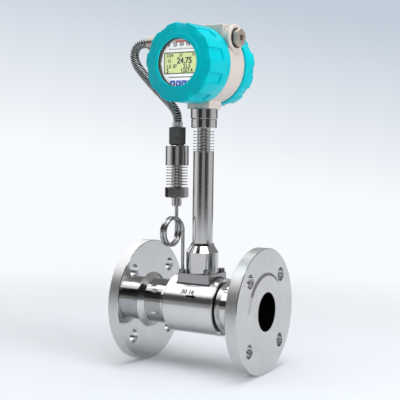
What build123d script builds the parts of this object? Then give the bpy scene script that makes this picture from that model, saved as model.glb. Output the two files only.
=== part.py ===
from build123d import *
import os
from math import cos, pi, radians, sin, sqrt, tan

# Vortex flow meter, DN50, with a side pressure transmitter. Lengths are millimetres, angles are degrees.
# The pipe runs along X and the flow goes towards +X. Z is up the stem.
# The origin is the centre of the inlet flange's bolt circle, on the face that the bolts press together.

# Flanges and pipes
FLANGE_OD = 165.0
FLANGE_T = 16.0
FACE_OD = 102.0
FACE_BEVEL = 4.0
FACE_H = 2.0
BOLT_PCD = 125.0
BOLT_HOLE_D = 18.0
BOLT_HOLE_EDGE = 0.4
BOLT_COUNT = 4
FLANGE_EDGE = 0.8
PIPE_OD = 60.3
PIPE_WALL = 4.5
PIPE_FIT = 0.1
FLANGE_SOCKET = 10.0
FLANGE_WELD_REACH = 7.8
FLANGE_WELD_LEN = 6.5
WELD_TOE = 0.5
INLET_PIPE_SHOWN = 39.5
OUTLET_PIPE_SHOWN = 43.0

# Meter body
BODY_R = 38.6
BODY_LEN = 76.5
BODY_SOCKET = 6.0
BODY_EDGE = 0.8
BODY_INLET_EDGE = 2.0
BODY_WELD_REACH = 3.2
BODY_WELD_LEN = 4.0
GROOVE_IN = 33.7
GROOVE_OUT = 37.0
GROOVE_DEPTH = 5.0
BODY_NOSE = 3.0
STEM_FROM_INLET_END = 40.0

# Shedder bar
BAR_FRONT = 14.0
BAR_TAIL = 5.0
BAR_LEN = 14.0
BAR_LEAD = 25.0

# Sensor flange, its gasket and screws
GASKET_T = 1.4
GASKET_LIP = 0.6
SADDLE_SIDE = 48.5
SADDLE_TOP = 5.4
SADDLE_CORNER = 1.5
SCREW_INSET = 4.9
SCREW_R = 2.5
SCREW_FIT = 0.05
SCREW_CLEAR = 0.3
SCREW_HEAD_R = 4.25
SCREW_HEAD_H = 5.0
SCREW_SOCKET_AF = 4.0
SCREW_SOCKET_DEPTH = 2.5
SCREW_BITE = 12.0

# Vortex probe
PROBE_R = 6.0
PROBE_CLEAR = 0.5
PROBE_HEAD_R = 10.8
PROBE_HEAD_H = 1.8
PROBE_SEAL_H = 1.0
PROBE_SEAL_IN = 0.6
PROBE_ROD_INTO_BORE = 5.0
PADDLE_LEN = 12.0
PADDLE_T = 3.0
PADDLE_H = 28.0

# Stem
HUB_R = 21.75
HUB_H = 27.5
CONE_H = 9.0
CONE_TOP_R = 15.9
SHOULDER_H = 3.0
SHOULDER_R = 15.2
HUB_BORE_R = 8.0
TUBE_R = 13.8
TUBE_WALL = 2.6
TUBE_SOCKET = 8.0
TUBE_FIT = 0.1
TUBE_SHOWN = 121.5
FIN_R = 13.9
FIN_CORE_R = 8.6
FIN_T = 1.3
FIN_PITCH = 3.96
FIN_COUNT = 7
FIN_FOOT = 1.5
FIN_FIRST_GAP = 1.35
FIN_LAST_GAP = 4.15
WIRE_BORE_R = 5.0
LOWER_COLLAR_R = 17.2
LOWER_COLLAR_H = 12.0
UPPER_COLLAR_R = 18.0
UPPER_COLLAR_H = 13.3
COLLAR_EDGE = 0.7
SPIGOT_R = 12.0
SPIGOT_H = 10.0
SPIGOT_FIT = 0.1
CABLE_R = 2.0

# Head housing, drawn face on: u to the right, v up, w out of the dial, with w = 0 on the stem's axis
HEAD_YAW = 4.7
HEAD_RISE = 56.7
COVER_R = 51.2
DRUM_STEP = 1.9
DRUM_R = COVER_R - DRUM_STEP
DRUM_FRONT = 15.7
DRUM_BACK = 20.7
DRUM_EDGE = 1.0
COVER_SKIRT = 5.7
NECK_R = COVER_R - COVER_SKIRT
NECK_LEN = 12.0
NECK_WALL = 3.5
CHAMBER_R = NECK_R - NECK_WALL
WALL_FRONT = 13.5
WALL_T = 3.0
BLOCK_U = 35.8
BLOCK_W = 29.5
CAST_EDGE = 1.5
PORT_V = 34.3
PORT_BOSS_R = 17.7
PORT_INSET = 0.3
PORT_BOSS_U = DRUM_R - PORT_INSET
PORT_LIP = 4.0
PORT_BOSS_STEP_U = PORT_BOSS_U - PORT_LIP
PORT_BOSS_ROOT_R = 15.4
PORT_BORE_R = 10.0
PORT_BLOCK_U = 38.0
PORT_BLOCK_W = 15.0
PORT_BLOCK_TOP = 52.0
WIRE_HOLE_R = 5.0
WIRE_HOLE_V = 28.0

# Screw covers
COVER_GAP = 0.2
COVER_FIT = 0.3
COVER_DEPTH = 47.5
COVER_WALL = 6.7
COVER_INNER_R = COVER_R - COVER_WALL
NECK_END_GAP = 0.5
FACE_RIM = 15.2
FACE_RING_R = COVER_R - FACE_RIM
FACE_RING_H = 0.5
FACE_SLOPE = 2.0
COVER_EDGE = 1.0
GRIP_COUNT = 10
GRIP_WIDTH = 15.5
GRIP_DEPTH = 2.1
GRIP_DRAFT = 20.0
GRIP_LEN = 31.0
GRIP_PHASE = 12.0
FACET_DROP = 2.9
FACET_STOP = 1.0
FACET_R = FACE_RING_R + FACET_STOP
REAR_DEPTH = 29.2
REAR_GRIP_LEN = 16.0
REAR_GRIP_PHASE = -6.0
REAR_SLOPE = 6.0
REAR_RIM = 17.2
REAR_FACE_R = COVER_R - REAR_RIM
REAR_WALL = 4.0
SEAL_R = 1.0
SEAL_GAP = 0.3

# Window
SEAT_STEP = 6.2
WINDOW_SEAT_R = COVER_INNER_R - SEAT_STEP
LIP = 7.7
WINDOW_R = WINDOW_SEAT_R - LIP
LIP_T = 1.5
SEAT_RING_WALL = 3.5
SEAT_RING_LEN = 3.0
GASKET_WALL = 2.8
GLASS_R = WINDOW_SEAT_R - GASKET_WALL
GLASS_T = 4.0
GASKET_FRONT_LIP = 0.85
GASKET_BACK_LIP = 1.0
GASKET_SET_BACK = 0.3
GASKET_IN_R = WINDOW_R + GASKET_SET_BACK
RING_T = 1.8
RING_SET_BACK = 0.6
RING_IN_R = WINDOW_R + RING_SET_BACK
RING_NOTCH = 3.0
SEAT_FIT = 0.1

# Dial, keys and boards
DIAL_BEHIND_RING = 1.25
DIAL_T = 1.5
DIAL_CLEAR = 2.5
DIAL_R = COVER_INNER_R - DIAL_CLEAR
LCD_U = 55.6
LCD_V = 27.8
LCD_T = 2.8
LCD_SET_BACK = 0.2
LCD_FIT = 0.1
KEY_U = 7.7
KEY_V = 8.2
KEY_PITCH = 9.1
KEY_ROW_V = -26.5
KEY_PROUD = 0.5
KEY_CLEAR = 0.3
KEY_CORNER = 1.0
KEY_FLANGE = 0.55
KEY_FLANGE_T = 1.2
KEY_TRAVEL = 0.5
KEY_STOP = 0.2
SWITCH_SIDE = 5.0
SWITCH_H = 1.3
BOARD_T = 1.6
BOARD_CLEAR = 4.0
BOARD_R = CHAMBER_R - BOARD_CLEAR
MAIN_BOARD_W = 24.0
POST_CIRCLE_INSET = 5.8752
POST_ANGLE = 41.6335
POST_U = (CHAMBER_R - POST_CIRCLE_INSET) * cos(radians(POST_ANGLE))
POST_V = (CHAMBER_R - POST_CIRCLE_INSET) * sin(radians(POST_ANGLE))
POST_R = 2.8
DIAL_SCREW_R = 1.5
DIAL_SCREW_HEAD_R = 2.7
DIAL_SCREW_CONE = 1.2
DIAL_SCREW_LEN = 6.0
DIAL_SCREW_FIT = 0.05

# Terminals in the rear chamber
TERMINAL_U = 50.0
TERMINAL_V = 16.0
TERMINAL_H = 14.0
TERMINAL_COUNT = 6
TERMINAL_PITCH = 8.0
TERMINAL_LEDGE = 5.0
TERMINAL_SCREW_R = 2.0
TERMINAL_SCREW_SINK = 3.0
TERMINAL_SCREW_FIT = 0.05
EARTH_INSET = 12.0
EARTH_U = CHAMBER_R - EARTH_INSET
EARTH_V = -14.0
EARTH_HEAD_R = 4.0
EARTH_HEAD_H = 3.0
EARTH_R = 1.5
EARTH_BITE = 2.0

# Ports
PLUG_WASHER_R = 13.0
PLUG_WASHER_T = 1.5
PLUG_AF = 21.0
PLUG_HEAD_H = 6.3
PLUG_FACE_R = 10.0
PLUG_SOCKET_AF = 8.0
PLUG_SOCKET_DEPTH = 6.0
PLUG_BITE = 14.0
THREAD_FIT = 0.1
CONNECTOR_NUT_AF = 24.0
CONNECTOR_NUT_H = 8.0
CONNECTOR_BITE = 12.0
CONNECTOR_R = 9.8
CONNECTOR_LEN = 25.5
CONNECTOR_END_R = 9.2
CONNECTOR_END_LEN = 10.0

# Flexible conduit
CONDUIT_R = 6.3
CONDUIT_RISE = 7.5
CONDUIT_LEAD = 6.5

# Side pressure transmitter and its siphon
TAP_LEAD = 30.5
TAP_HOLE_R = 1.5
TAP_BOSS_R = 5.0
TAP_BOSS_SINK = 2.0
TAP_BOSS_RISE = 5.4
SIPHON_R = 2.4
SIPHON_FIT = 0.1
SIPHON_SET_IN = 4.0
COIL_R = 18.3
COIL_PITCH = 5.7
COIL_TURNS = 2
COIL_YAW = 5.0
COIL_Z = 98.0
NIPPLE_BOTTOM = 130.7
NIPPLE_R = 6.6
NIPPLE_H = 12.2
NIPPLE_TAPER = 1.5
SIDE_NUT_AF = 28.6
SIDE_NUT_H = 14.0
SIDE_NUT_TURN = 17.0
SIDE_FIN_R = 14.45
SIDE_FIN_CORE_R = 7.2
SIDE_FIN_T = 1.2
SIDE_FIN_PITCH = 3.87
SIDE_FIN_COUNT = 7
SIDE_FIN_FIRST_GAP = 3.1
SIDE_FIN_LAST_GAP = 1.8
CELL_R = 15.7
CELL_H = 27.1
CELL_EDGE = 0.5
GLAND_AF = 22.2
GLAND_NECK_R = 9.4
GLAND_NECK_H = 1.6
GLAND_BODY_H = 8.0
GLAND_CAP_H = 15.2
GLAND_TURN = 0.0
FERRULE_R = 7.45
FERRULE_FLARE = 0.5
FERRULE_H = 7.4
FERRULE_SLOTS = 12
FERRULE_SLOT_W = 1.3
FERRULE_SLOT_DEPTH = 0.7

# Sizes that follow from the ones above
PIPE_R = PIPE_OD / 2
BORE_R = PIPE_R - PIPE_WALL
INLET_BACK = FLANGE_T
BODY_LOW = INLET_BACK + INLET_PIPE_SHOWN
BODY_HIGH = BODY_LOW + BODY_LEN
OUTLET_BACK = BODY_HIGH + OUTLET_PIPE_SHOWN
OUTLET_FACE = OUTLET_BACK + FLANGE_T
STEM_X = BODY_LOW + STEM_FROM_INLET_END
SADDLE_Z = BODY_R + SADDLE_TOP
SCREW_AT = SADDLE_SIDE / 2 - SCREW_INSET
PROBE_SEAT_Z = SADDLE_Z - PROBE_HEAD_H - PROBE_SEAL_H
CONE_Z = SADDLE_Z + HUB_H
SHOULDER_Z = CONE_Z + CONE_H
HUB_TOP = SHOULDER_Z + SHOULDER_H
TUBE_LOW = HUB_TOP - TUBE_SOCKET
TUBE_TOP = HUB_TOP + TUBE_SHOWN
FIN_LOW = TUBE_TOP + FIN_FOOT + FIN_FIRST_GAP
FINS_TOP = FIN_LOW + FIN_PITCH * (FIN_COUNT - 1) + FIN_T + FIN_LAST_GAP
COLLAR_MID = FINS_TOP + LOWER_COLLAR_H
STEM_TOP = COLLAR_MID + UPPER_COLLAR_H
HEAD_Z = STEM_TOP + HEAD_RISE
TAP_X = STEM_X - TAP_LEAD
COIL_SPAN = COIL_PITCH * COIL_TURNS
SIDE_X = TAP_X - COIL_SPAN * cos(radians(COIL_YAW))
SIDE_Y = COIL_SPAN * sin(radians(COIL_YAW))
SIDE_NUT_Z = NIPPLE_BOTTOM + NIPPLE_H
SIDE_FINS_Z = SIDE_NUT_Z + SIDE_NUT_H
SIDE_FIN_LOW = SIDE_FINS_Z + SIDE_FIN_FIRST_GAP
CELL_Z = SIDE_FIN_LOW + SIDE_FIN_PITCH * (SIDE_FIN_COUNT - 1) + SIDE_FIN_T + SIDE_FIN_LAST_GAP
GLAND_Z = CELL_Z + CELL_H
GLAND_CAP_Z = GLAND_Z + GLAND_NECK_H + GLAND_BODY_H
FERRULE_Z = GLAND_CAP_Z + GLAND_CAP_H
CONDUIT_Z = FERRULE_Z + FERRULE_H
CONNECTOR_END_U = PORT_BOSS_U + CONNECTOR_NUT_H + CONNECTOR_LEN + CONNECTOR_END_LEN

# How far cutting shapes stand past what they cut
CUTTER_PAST = 5.0

# Frames that the pieces are drawn in
STEM = Pos(STEM_X, 0, 0)
SIDE = Pos(SIDE_X, SIDE_Y, 0)
HEAD = Pos(STEM_X, 0, HEAD_Z) * Rot(0, 0, -HEAD_YAW) * Rot(90, 0, 0)
RIGHT_PORT = HEAD * Pos(0, PORT_V, 0) * Rot(0, 90, 0)
LEFT_PORT = HEAD * Pos(0, PORT_V, 0) * Rot(0, -90, 0)
FRONT_COVER = HEAD * Pos(0, 0, DRUM_FRONT + COVER_GAP)
REAR_COVER = HEAD * Pos(0, 0, -DRUM_BACK - COVER_GAP) * Rot(0, 180, 0)
COVER_TOP_W = DRUM_FRONT + COVER_GAP + COVER_DEPTH
RING_W = COVER_TOP_W - LIP_T - GASKET_FRONT_LIP - GLASS_T - GASKET_BACK_LIP - RING_T
DIAL_W = RING_W - DIAL_BEHIND_RING


def turned(points):
    """A turned piece about Z, from the closed outline of its half section as (radius, height)."""
    outline = Polyline(*[(r, 0, h) for r, h in points], close=True)
    return revolve(make_face(outline), Axis.Z)


def rod(radius, low, high):
    """A round bar about Z between two heights."""
    return Pos(0, 0, low) * Cylinder(radius, high - low, align=(Align.CENTER, Align.CENTER, Align.MIN))


def ring(outer, inner, low, high):
    """A round tube about Z between two heights."""
    return rod(outer, low, high) - rod(inner, low, high)


def block(size_x, size_y, low, high):
    """A rectangular block about Z between two heights."""
    return Pos(0, 0, low) * Box(size_x, size_y, high - low, align=(Align.CENTER, Align.CENTER, Align.MIN))


def hex_bar(flats, low, high, turn=0.0):
    """A hexagonal bar about Z between two heights."""
    outline = RegularPolygon(flats / 2, 6, major_radius=False, rotation=turn)
    return Pos(0, 0, low) * extrude(outline, high - low)


def hex_nut(flats, low, high, turn=0.0, bottom=True, top=True):
    """A hexagon whose corners are turned off at 30 degrees at one or both ends."""
    corner_r = flats / sqrt(3)
    drop = (corner_r - flats / 2) * tan(radians(30))
    cut_low = drop if bottom else 0.0
    cut_high = drop if top else 0.0
    low_r = flats / 2 if bottom else corner_r
    high_r = flats / 2 if top else corner_r
    points = [(0, low), (low_r, low)]
    if bottom:
        points.append((corner_r, low + cut_low))
    if top:
        points.append((corner_r, high - cut_high))
    points += [(high_r, high), (0, high)]
    return hex_bar(flats, low, high, turn) & turned(points)


def around_x(angle, piece):
    """The piece turned about the pipe's axis."""
    return Rot(angle, 0, 0) * piece


def along_pipe(piece):
    """A piece drawn about Z, laid along the pipe."""
    return Rot(0, 90, 0) * piece


def polar(count, phase, piece):
    """Copies of a piece about Z."""
    return [Rot(0, 0, phase + 360.0 / count * i) * piece for i in range(count)]


def flange(inward):
    """A flange drawn about Z: bolting face at 0, raised face below it, back and pipe socket above it."""
    radius = FLANGE_OD / 2
    disc = turned([
        (BORE_R, -FACE_H),
        (FACE_OD / 2 - FACE_BEVEL, -FACE_H),
        (FACE_OD / 2, 0),
        (radius - FLANGE_EDGE, 0),
        (radius, FLANGE_EDGE),
        (radius, FLANGE_T - FLANGE_EDGE),
        (radius - FLANGE_EDGE, FLANGE_T),
        (PIPE_R + PIPE_FIT, FLANGE_T),
        (PIPE_R + PIPE_FIT, FLANGE_T - FLANGE_SOCKET),
        (BORE_R, FLANGE_T - FLANGE_SOCKET),
    ])
    hole_r = BOLT_HOLE_D / 2
    mouth_r = hole_r + BOLT_HOLE_EDGE + CUTTER_PAST
    hole = Pos(BOLT_PCD / 2, 0, 0) * turned([
        (0, -CUTTER_PAST),
        (mouth_r, -CUTTER_PAST),
        (hole_r, BOLT_HOLE_EDGE),
        (hole_r, FLANGE_T - BOLT_HOLE_EDGE),
        (mouth_r, FLANGE_T + CUTTER_PAST),
        (0, FLANGE_T + CUTTER_PAST),
    ])
    for drill in polar(BOLT_COUNT, 180.0 / BOLT_COUNT, hole):
        disc -= drill
    return along_pipe(disc) if inward > 0 else Pos(OUTLET_FACE, 0, 0) * Rot(0, -90, 0) * disc


def weld(inner, reach, length):
    """A dressed fillet weld about Z: it stands on the face at 0 and slopes up to the pipe, with small toes."""
    return turned([
        (inner, 0),
        (inner + reach, 0),
        (inner + reach, WELD_TOE),
        (inner + WELD_TOE, length),
        (inner, length),
    ])


def flange_welds():
    """The welds behind the two flanges."""
    bead = weld(PIPE_R, FLANGE_WELD_REACH, FLANGE_WELD_LEN)
    inlet = Pos(INLET_BACK, 0, 0) * along_pipe(bead)
    outlet = Pos(OUTLET_BACK, 0, 0) * Rot(0, -90, 0) * bead
    return [inlet, outlet]


def body_welds():
    """The welds at the two ends of the body."""
    bead = weld(PIPE_R, BODY_WELD_REACH, BODY_WELD_LEN)
    inlet = Pos(BODY_LOW, 0, 0) * Rot(0, -90, 0) * bead
    outlet = Pos(BODY_HIGH + BODY_NOSE, 0, 0) * along_pipe(bead)
    return [inlet, outlet]


def pipe(start, end):
    """A neck pipe along X."""
    return Pos(start, 0, 0) * along_pipe(ring(PIPE_R, BORE_R, 0, end - start))


def saddle_corners(piece):
    """Copies of a piece at the four screw places of the sensor flange."""
    return [STEM * Pos(SCREW_AT * i, SCREW_AT * j, 0) * piece for i in (-1, 1) for j in (-1, 1)]


def screw_end():
    """Height of the screw tips, which is also where the tapped holes end."""
    return SADDLE_Z - SCREW_BITE - SADDLE_TOP - GASKET_T


def meter_body():
    """The thick sleeve that carries the sensor flange, the pipes and the pressure tap."""
    socket_r = PIPE_R + PIPE_FIT
    sleeve = turned([
        (BORE_R, BODY_SOCKET),
        (socket_r, BODY_SOCKET),
        (socket_r, 0),
        (BODY_R - BODY_INLET_EDGE, 0),
        (BODY_R, BODY_INLET_EDGE),
        (BODY_R, BODY_LEN - BODY_EDGE),
        (BODY_R - BODY_EDGE, BODY_LEN),
        (GROOVE_OUT, BODY_LEN),
        (GROOVE_OUT, BODY_LEN - GROOVE_DEPTH),
        (GROOVE_IN, BODY_LEN - GROOVE_DEPTH),
        (GROOVE_IN, BODY_LEN + BODY_NOSE),
        (socket_r, BODY_LEN + BODY_NOSE),
        (socket_r, BODY_LEN - BODY_SOCKET),
        (BORE_R, BODY_LEN - BODY_SOCKET),
    ])
    body = Pos(BODY_LOW, 0, 0) * along_pipe(sleeve)
    body -= STEM * rod(PROBE_R + PROBE_CLEAR, 0, BODY_R + 1)
    for drill in saddle_corners(rod(SCREW_R + SCREW_FIT, screw_end(), BODY_R + 1)):
        body -= drill
    tap = Pos(TAP_X, 0, 0)
    body -= tap * rod(TAP_HOLE_R, 0, BODY_R + 1)
    body -= tap * rod(TAP_BOSS_R, BODY_R - TAP_BOSS_SINK, BODY_R + 1)
    return body


def shedder_bar():
    """The bluff body: a trapezoid bar across the bore, wide side to the flow."""
    outline = Polyline(
        (0, -BAR_FRONT / 2),
        (BAR_LEN, -BAR_TAIL / 2),
        (BAR_LEN, BAR_TAIL / 2),
        (0, BAR_FRONT / 2),
        close=True,
    )
    bar = Pos(STEM_X - BAR_LEAD, 0, -BORE_R) * extrude(make_face(outline), 2 * BORE_R)
    return bar & Pos(STEM_X - BAR_LEAD, 0, 0) * along_pipe(rod(BORE_R, 0, BAR_LEN))


def saddle_gasket():
    """The curved sheet between the body and the sensor flange."""
    side = SADDLE_SIDE + 2 * GASKET_LIP
    sheet = along_pipe(ring(BODY_R + GASKET_T, BODY_R, STEM_X - side / 2, STEM_X + side / 2))
    sheet &= STEM * block(side, side, 0, BODY_R + GASKET_T + 1)
    sheet -= STEM * rod(PROBE_R + PROBE_CLEAR, 0, BODY_R + GASKET_T + 1)
    for drill in saddle_corners(rod(SCREW_R + SCREW_CLEAR, 0, BODY_R + GASKET_T + 1)):
        sheet -= drill
    return sheet


def sensor_flange():
    """The square block with its saddle underside."""
    block_body = STEM * block(SADDLE_SIDE, SADDLE_SIDE, 0, SADDLE_Z)
    block_body = fillet(block_body.edges().filter_by(Axis.Z), SADDLE_CORNER)
    block_body -= along_pipe(rod(BODY_R + GASKET_T, STEM_X - SADDLE_SIDE, STEM_X + SADDLE_SIDE))
    block_body -= STEM * rod(PROBE_R + PROBE_CLEAR, 0, SADDLE_Z + 1)
    block_body -= STEM * rod(PROBE_HEAD_R + PROBE_CLEAR, PROBE_SEAT_Z, SADDLE_Z + 1)
    for drill in saddle_corners(rod(SCREW_R + SCREW_CLEAR, 0, SADDLE_Z + 1)):
        block_body -= drill
    return block_body


def flange_screws():
    """Four socket head screws."""
    head_top = SADDLE_Z + SCREW_HEAD_H
    screw = turned([
        (0, screw_end()),
        (SCREW_R, screw_end()),
        (SCREW_R, SADDLE_Z),
        (SCREW_HEAD_R, SADDLE_Z),
        (SCREW_HEAD_R, head_top - SCREW_FIT * 8),
        (SCREW_HEAD_R - SCREW_FIT * 8, head_top),
        (0, head_top),
    ])
    screw -= hex_bar(SCREW_SOCKET_AF, head_top - SCREW_SOCKET_DEPTH, head_top + 1)
    return saddle_corners(screw)


def vortex_probe():
    """The sensing rod with its paddle, edge on to the flow."""
    rod_low = BORE_R - PROBE_ROD_INTO_BORE
    head_low = SADDLE_Z - PROBE_HEAD_H
    probe = rod(PROBE_HEAD_R, head_low, SADDLE_Z) + rod(PROBE_R, rod_low, head_low)
    probe += block(PADDLE_LEN, PADDLE_T, rod_low - PADDLE_H, rod_low)
    return STEM * probe


def probe_seal():
    """The ring that the probe's head presses on."""
    return STEM * ring(PROBE_HEAD_R, PROBE_R + PROBE_SEAL_IN, PROBE_SEAT_Z, PROBE_SEAT_Z + PROBE_SEAL_H)


def stem_base():
    """The turned hub and cone on the sensor flange."""
    return STEM * turned([
        (HUB_BORE_R, SADDLE_Z),
        (HUB_R, SADDLE_Z),
        (HUB_R, CONE_Z),
        (CONE_TOP_R, SHOULDER_Z),
        (SHOULDER_R, HUB_TOP),
        (TUBE_R + TUBE_FIT, HUB_TOP),
        (TUBE_R + TUBE_FIT, TUBE_LOW),
        (HUB_BORE_R, TUBE_LOW),
    ])


def stem_tube():
    """The long plain tube."""
    return STEM * ring(TUBE_R, TUBE_R - TUBE_WALL, TUBE_LOW, TUBE_TOP)


def finned_cooler(bottom, core_r, bore_r, fin_r, fin_t, first, pitch, count, top):
    """A turned cooler about Z: the given bottom, a core with a stack of thin round fins, and a bore."""
    points = list(bottom)
    for i in range(count):
        z = first + pitch * i
        points += [(core_r, z), (fin_r, z), (fin_r, z + fin_t), (core_r, z + fin_t)]
    points += [(core_r, top), (bore_r, top)]
    return turned(points)


def stem_fins():
    """The cooler between the tube and the collars, with a spigot in the tube."""
    spigot_r = TUBE_R - TUBE_WALL - TUBE_FIT
    bottom = [
        (WIRE_BORE_R, TUBE_TOP - TUBE_SOCKET),
        (spigot_r, TUBE_TOP - TUBE_SOCKET),
        (spigot_r, TUBE_TOP),
        (TUBE_R, TUBE_TOP),
        (TUBE_R, TUBE_TOP + FIN_FOOT),
        (FIN_CORE_R, TUBE_TOP + FIN_FOOT),
    ]
    return STEM * finned_cooler(
        bottom, FIN_CORE_R, WIRE_BORE_R, FIN_R, FIN_T, FIN_LOW, FIN_PITCH, FIN_COUNT, FINS_TOP
    )


def collar(radius, low, high, spigot_top):
    """A collar with broken edges, and a spigot on top when spigot_top is above it."""
    points = [
        (WIRE_BORE_R, low),
        (radius - COLLAR_EDGE, low),
        (radius, low + COLLAR_EDGE),
        (radius, high - COLLAR_EDGE),
        (radius - COLLAR_EDGE, high),
    ]
    if spigot_top > high:
        points += [(SPIGOT_R, high), (SPIGOT_R, spigot_top)]
    points.append((WIRE_BORE_R, spigot_top))
    return STEM * turned(points)


def signal_cable():
    """The probe's cable, straight up the stem into the rear chamber."""
    return STEM * rod(CABLE_R, SADDLE_Z, STEM_TOP + SPIGOT_H + CABLE_R)


def head_housing():
    """The one-piece casting: drum, threaded necks, neck block, port block, two chambers and a wall."""
    drum = turned([
        (0, -DRUM_BACK - NECK_LEN),
        (NECK_R, -DRUM_BACK - NECK_LEN),
        (NECK_R, -DRUM_BACK),
        (DRUM_R - DRUM_EDGE, -DRUM_BACK),
        (DRUM_R, -DRUM_BACK + DRUM_EDGE),
        (DRUM_R, DRUM_FRONT - DRUM_EDGE),
        (DRUM_R - DRUM_EDGE, DRUM_FRONT),
        (NECK_R, DRUM_FRONT),
        (NECK_R, DRUM_FRONT + NECK_LEN),
        (0, DRUM_FRONT + NECK_LEN),
    ])
    neck = Pos(0, -HEAD_RISE / 2, 0) * Box(BLOCK_U, HEAD_RISE, BLOCK_W)
    neck = fillet(neck.edges().filter_by(Axis.Y), CAST_EDGE)
    ports = Pos(0, PORT_BLOCK_TOP / 2, 0) * Box(2 * PORT_BLOCK_U, PORT_BLOCK_TOP, 2 * PORT_BLOCK_W)
    ports = fillet(ports.edges().filter_by(Axis.Y) + ports.edges().group_by(Axis.Y)[-1], CAST_EDGE)
    boss = Rot(0, 90, 0) * turned([
        (0, -PORT_BOSS_U),
        (PORT_BOSS_R - DRUM_EDGE, -PORT_BOSS_U),
        (PORT_BOSS_R, -PORT_BOSS_U + DRUM_EDGE),
        (PORT_BOSS_R, -PORT_BOSS_STEP_U),
        (PORT_BOSS_ROOT_R, -PORT_BOSS_STEP_U),
        (PORT_BOSS_ROOT_R, PORT_BOSS_STEP_U),
        (PORT_BOSS_R, PORT_BOSS_STEP_U),
        (PORT_BOSS_R, PORT_BOSS_U - DRUM_EDGE),
        (PORT_BOSS_R - DRUM_EDGE, PORT_BOSS_U),
        (0, PORT_BOSS_U),
    ])
    casting = drum + neck + ports + Pos(0, PORT_V, 0) * boss
    casting -= rod(CHAMBER_R, WALL_FRONT, DRUM_FRONT + NECK_LEN + 1)
    casting -= rod(CHAMBER_R, -DRUM_BACK - NECK_LEN - 1, WALL_FRONT - WALL_T)
    casting -= Pos(0, PORT_V, 0) * Rot(0, 90, 0) * rod(PORT_BORE_R, -PORT_BOSS_U - 1, PORT_BOSS_U + 1)
    casting -= Pos(0, WIRE_HOLE_V, 0) * rod(WIRE_HOLE_R, WALL_FRONT - WALL_T - 1, WALL_FRONT + 1)
    stem_hole = Pos(0, -HEAD_RISE, 0) * Rot(-90, 0, 0)
    casting -= stem_hole * rod(SPIGOT_R + SPIGOT_FIT, -1, SPIGOT_H + SPIGOT_FIT)
    casting -= stem_hole * rod(WIRE_BORE_R, 0, HEAD_RISE - CHAMBER_R + 2)
    earth_top = WALL_FRONT - WALL_T
    casting -= Pos(EARTH_U, EARTH_V, 0) * rod(EARTH_R + TERMINAL_SCREW_FIT, earth_top - 1, earth_top + EARTH_BITE)
    return HEAD * casting


def grip_cutter(top, length, facet_drop):
    """The drafted pocket of one finger grip about Z, with the facet that runs from it up the front face."""
    floor_r = COVER_R - GRIP_DEPTH
    past = CUTTER_PAST
    flare = tan(radians(GRIP_DRAFT))
    half_floor = GRIP_WIDTH / 2 - GRIP_DEPTH * flare
    half_mouth = GRIP_WIDTH / 2 + past * flare
    section = Polyline(
        (floor_r, -half_floor),
        (floor_r, half_floor),
        (COVER_R + past, half_mouth),
        (COVER_R + past, -half_mouth),
        close=True,
    )
    pocket = Pos(0, 0, top - length) * extrude(make_face(section), length + past)
    slope = Polyline(
        (floor_r, 0, top - facet_drop),
        (FACET_R, 0, top),
        (FACET_R, 0, top + past),
        (COVER_R, 0, top + past),
        (COVER_R, 0, top - facet_drop),
        close=True,
    )
    return pocket + extrude(make_face(slope), half_floor, both=True)


def cover_skirt(depth, face_r, ring_h, slope):
    """The outline of a cover's outside from its open end at 0, up to the low ring on its front."""
    return [
        (COVER_R, 0),
        (COVER_R, depth - slope - COVER_EDGE),
        (COVER_R - COVER_EDGE, depth - slope),
        (face_r + ring_h, depth - ring_h),
        (face_r, depth),
    ]


def cover_thread():
    """The outline of a cover's inside by its open end, from the chamber side out to the open end."""
    groove_r = NECK_R + COVER_FIT + 2 * SEAL_R + SEAL_GAP
    groove_h = 2 * SEAL_R + 2 * SEAL_GAP - COVER_GAP
    neck_end = NECK_LEN - COVER_GAP + NECK_END_GAP
    return [
        (COVER_INNER_R, neck_end),
        (NECK_R + COVER_FIT, neck_end),
        (NECK_R + COVER_FIT, groove_h),
        (groove_r, groove_h),
        (groove_r, 0),
    ]


def front_cover():
    """The deep screw cover with the window, ten grips and a faceted face."""
    seat = COVER_DEPTH - LIP_T
    ring_low = seat - GASKET_FRONT_LIP - GLASS_T - GASKET_BACK_LIP - RING_T
    wall_low = ring_low + SEAT_RING_LEN
    outside = cover_skirt(COVER_DEPTH, FACE_RING_R, FACE_RING_H, FACE_SLOPE)
    inside = [
        (WINDOW_R, COVER_DEPTH),
        (WINDOW_R, seat),
        (WINDOW_SEAT_R, seat),
        (WINDOW_SEAT_R, ring_low),
        (WINDOW_SEAT_R + SEAT_RING_WALL, ring_low),
        (WINDOW_SEAT_R + SEAT_RING_WALL, wall_low),
        (COVER_INNER_R, wall_low),
    ]
    cover = turned(outside + inside + cover_thread())
    cutter = grip_cutter(COVER_DEPTH, GRIP_LEN, FACET_DROP)
    for cut in polar(GRIP_COUNT, GRIP_PHASE, cutter):
        cover -= cut
    return FRONT_COVER * cover


def rear_cover():
    """The shallow screw cover, closed at the back."""
    outside = cover_skirt(REAR_DEPTH, REAR_FACE_R, FACE_RING_H, REAR_SLOPE)
    inside = [
        (0, REAR_DEPTH),
        (0, REAR_DEPTH - REAR_WALL),
        (REAR_FACE_R, REAR_DEPTH - REAR_WALL),
        (COVER_INNER_R, REAR_DEPTH - REAR_WALL - REAR_SLOPE / 2),
    ]
    cover = turned(outside + inside + cover_thread())
    cutter = grip_cutter(REAR_DEPTH, REAR_GRIP_LEN, FACET_DROP + REAR_SLOPE - FACE_SLOPE)
    for cut in polar(GRIP_COUNT, 180 - REAR_GRIP_PHASE, cutter):
        cover -= cut
    return REAR_COVER * cover


def cover_seal():
    """The round seal between a cover and the drum, drawn in the cover's frame."""
    ring_r = NECK_R + COVER_FIT + SEAL_R
    return Pos(0, 0, SEAL_GAP + SEAL_R - COVER_GAP) * Torus(ring_r, SEAL_R)


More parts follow.
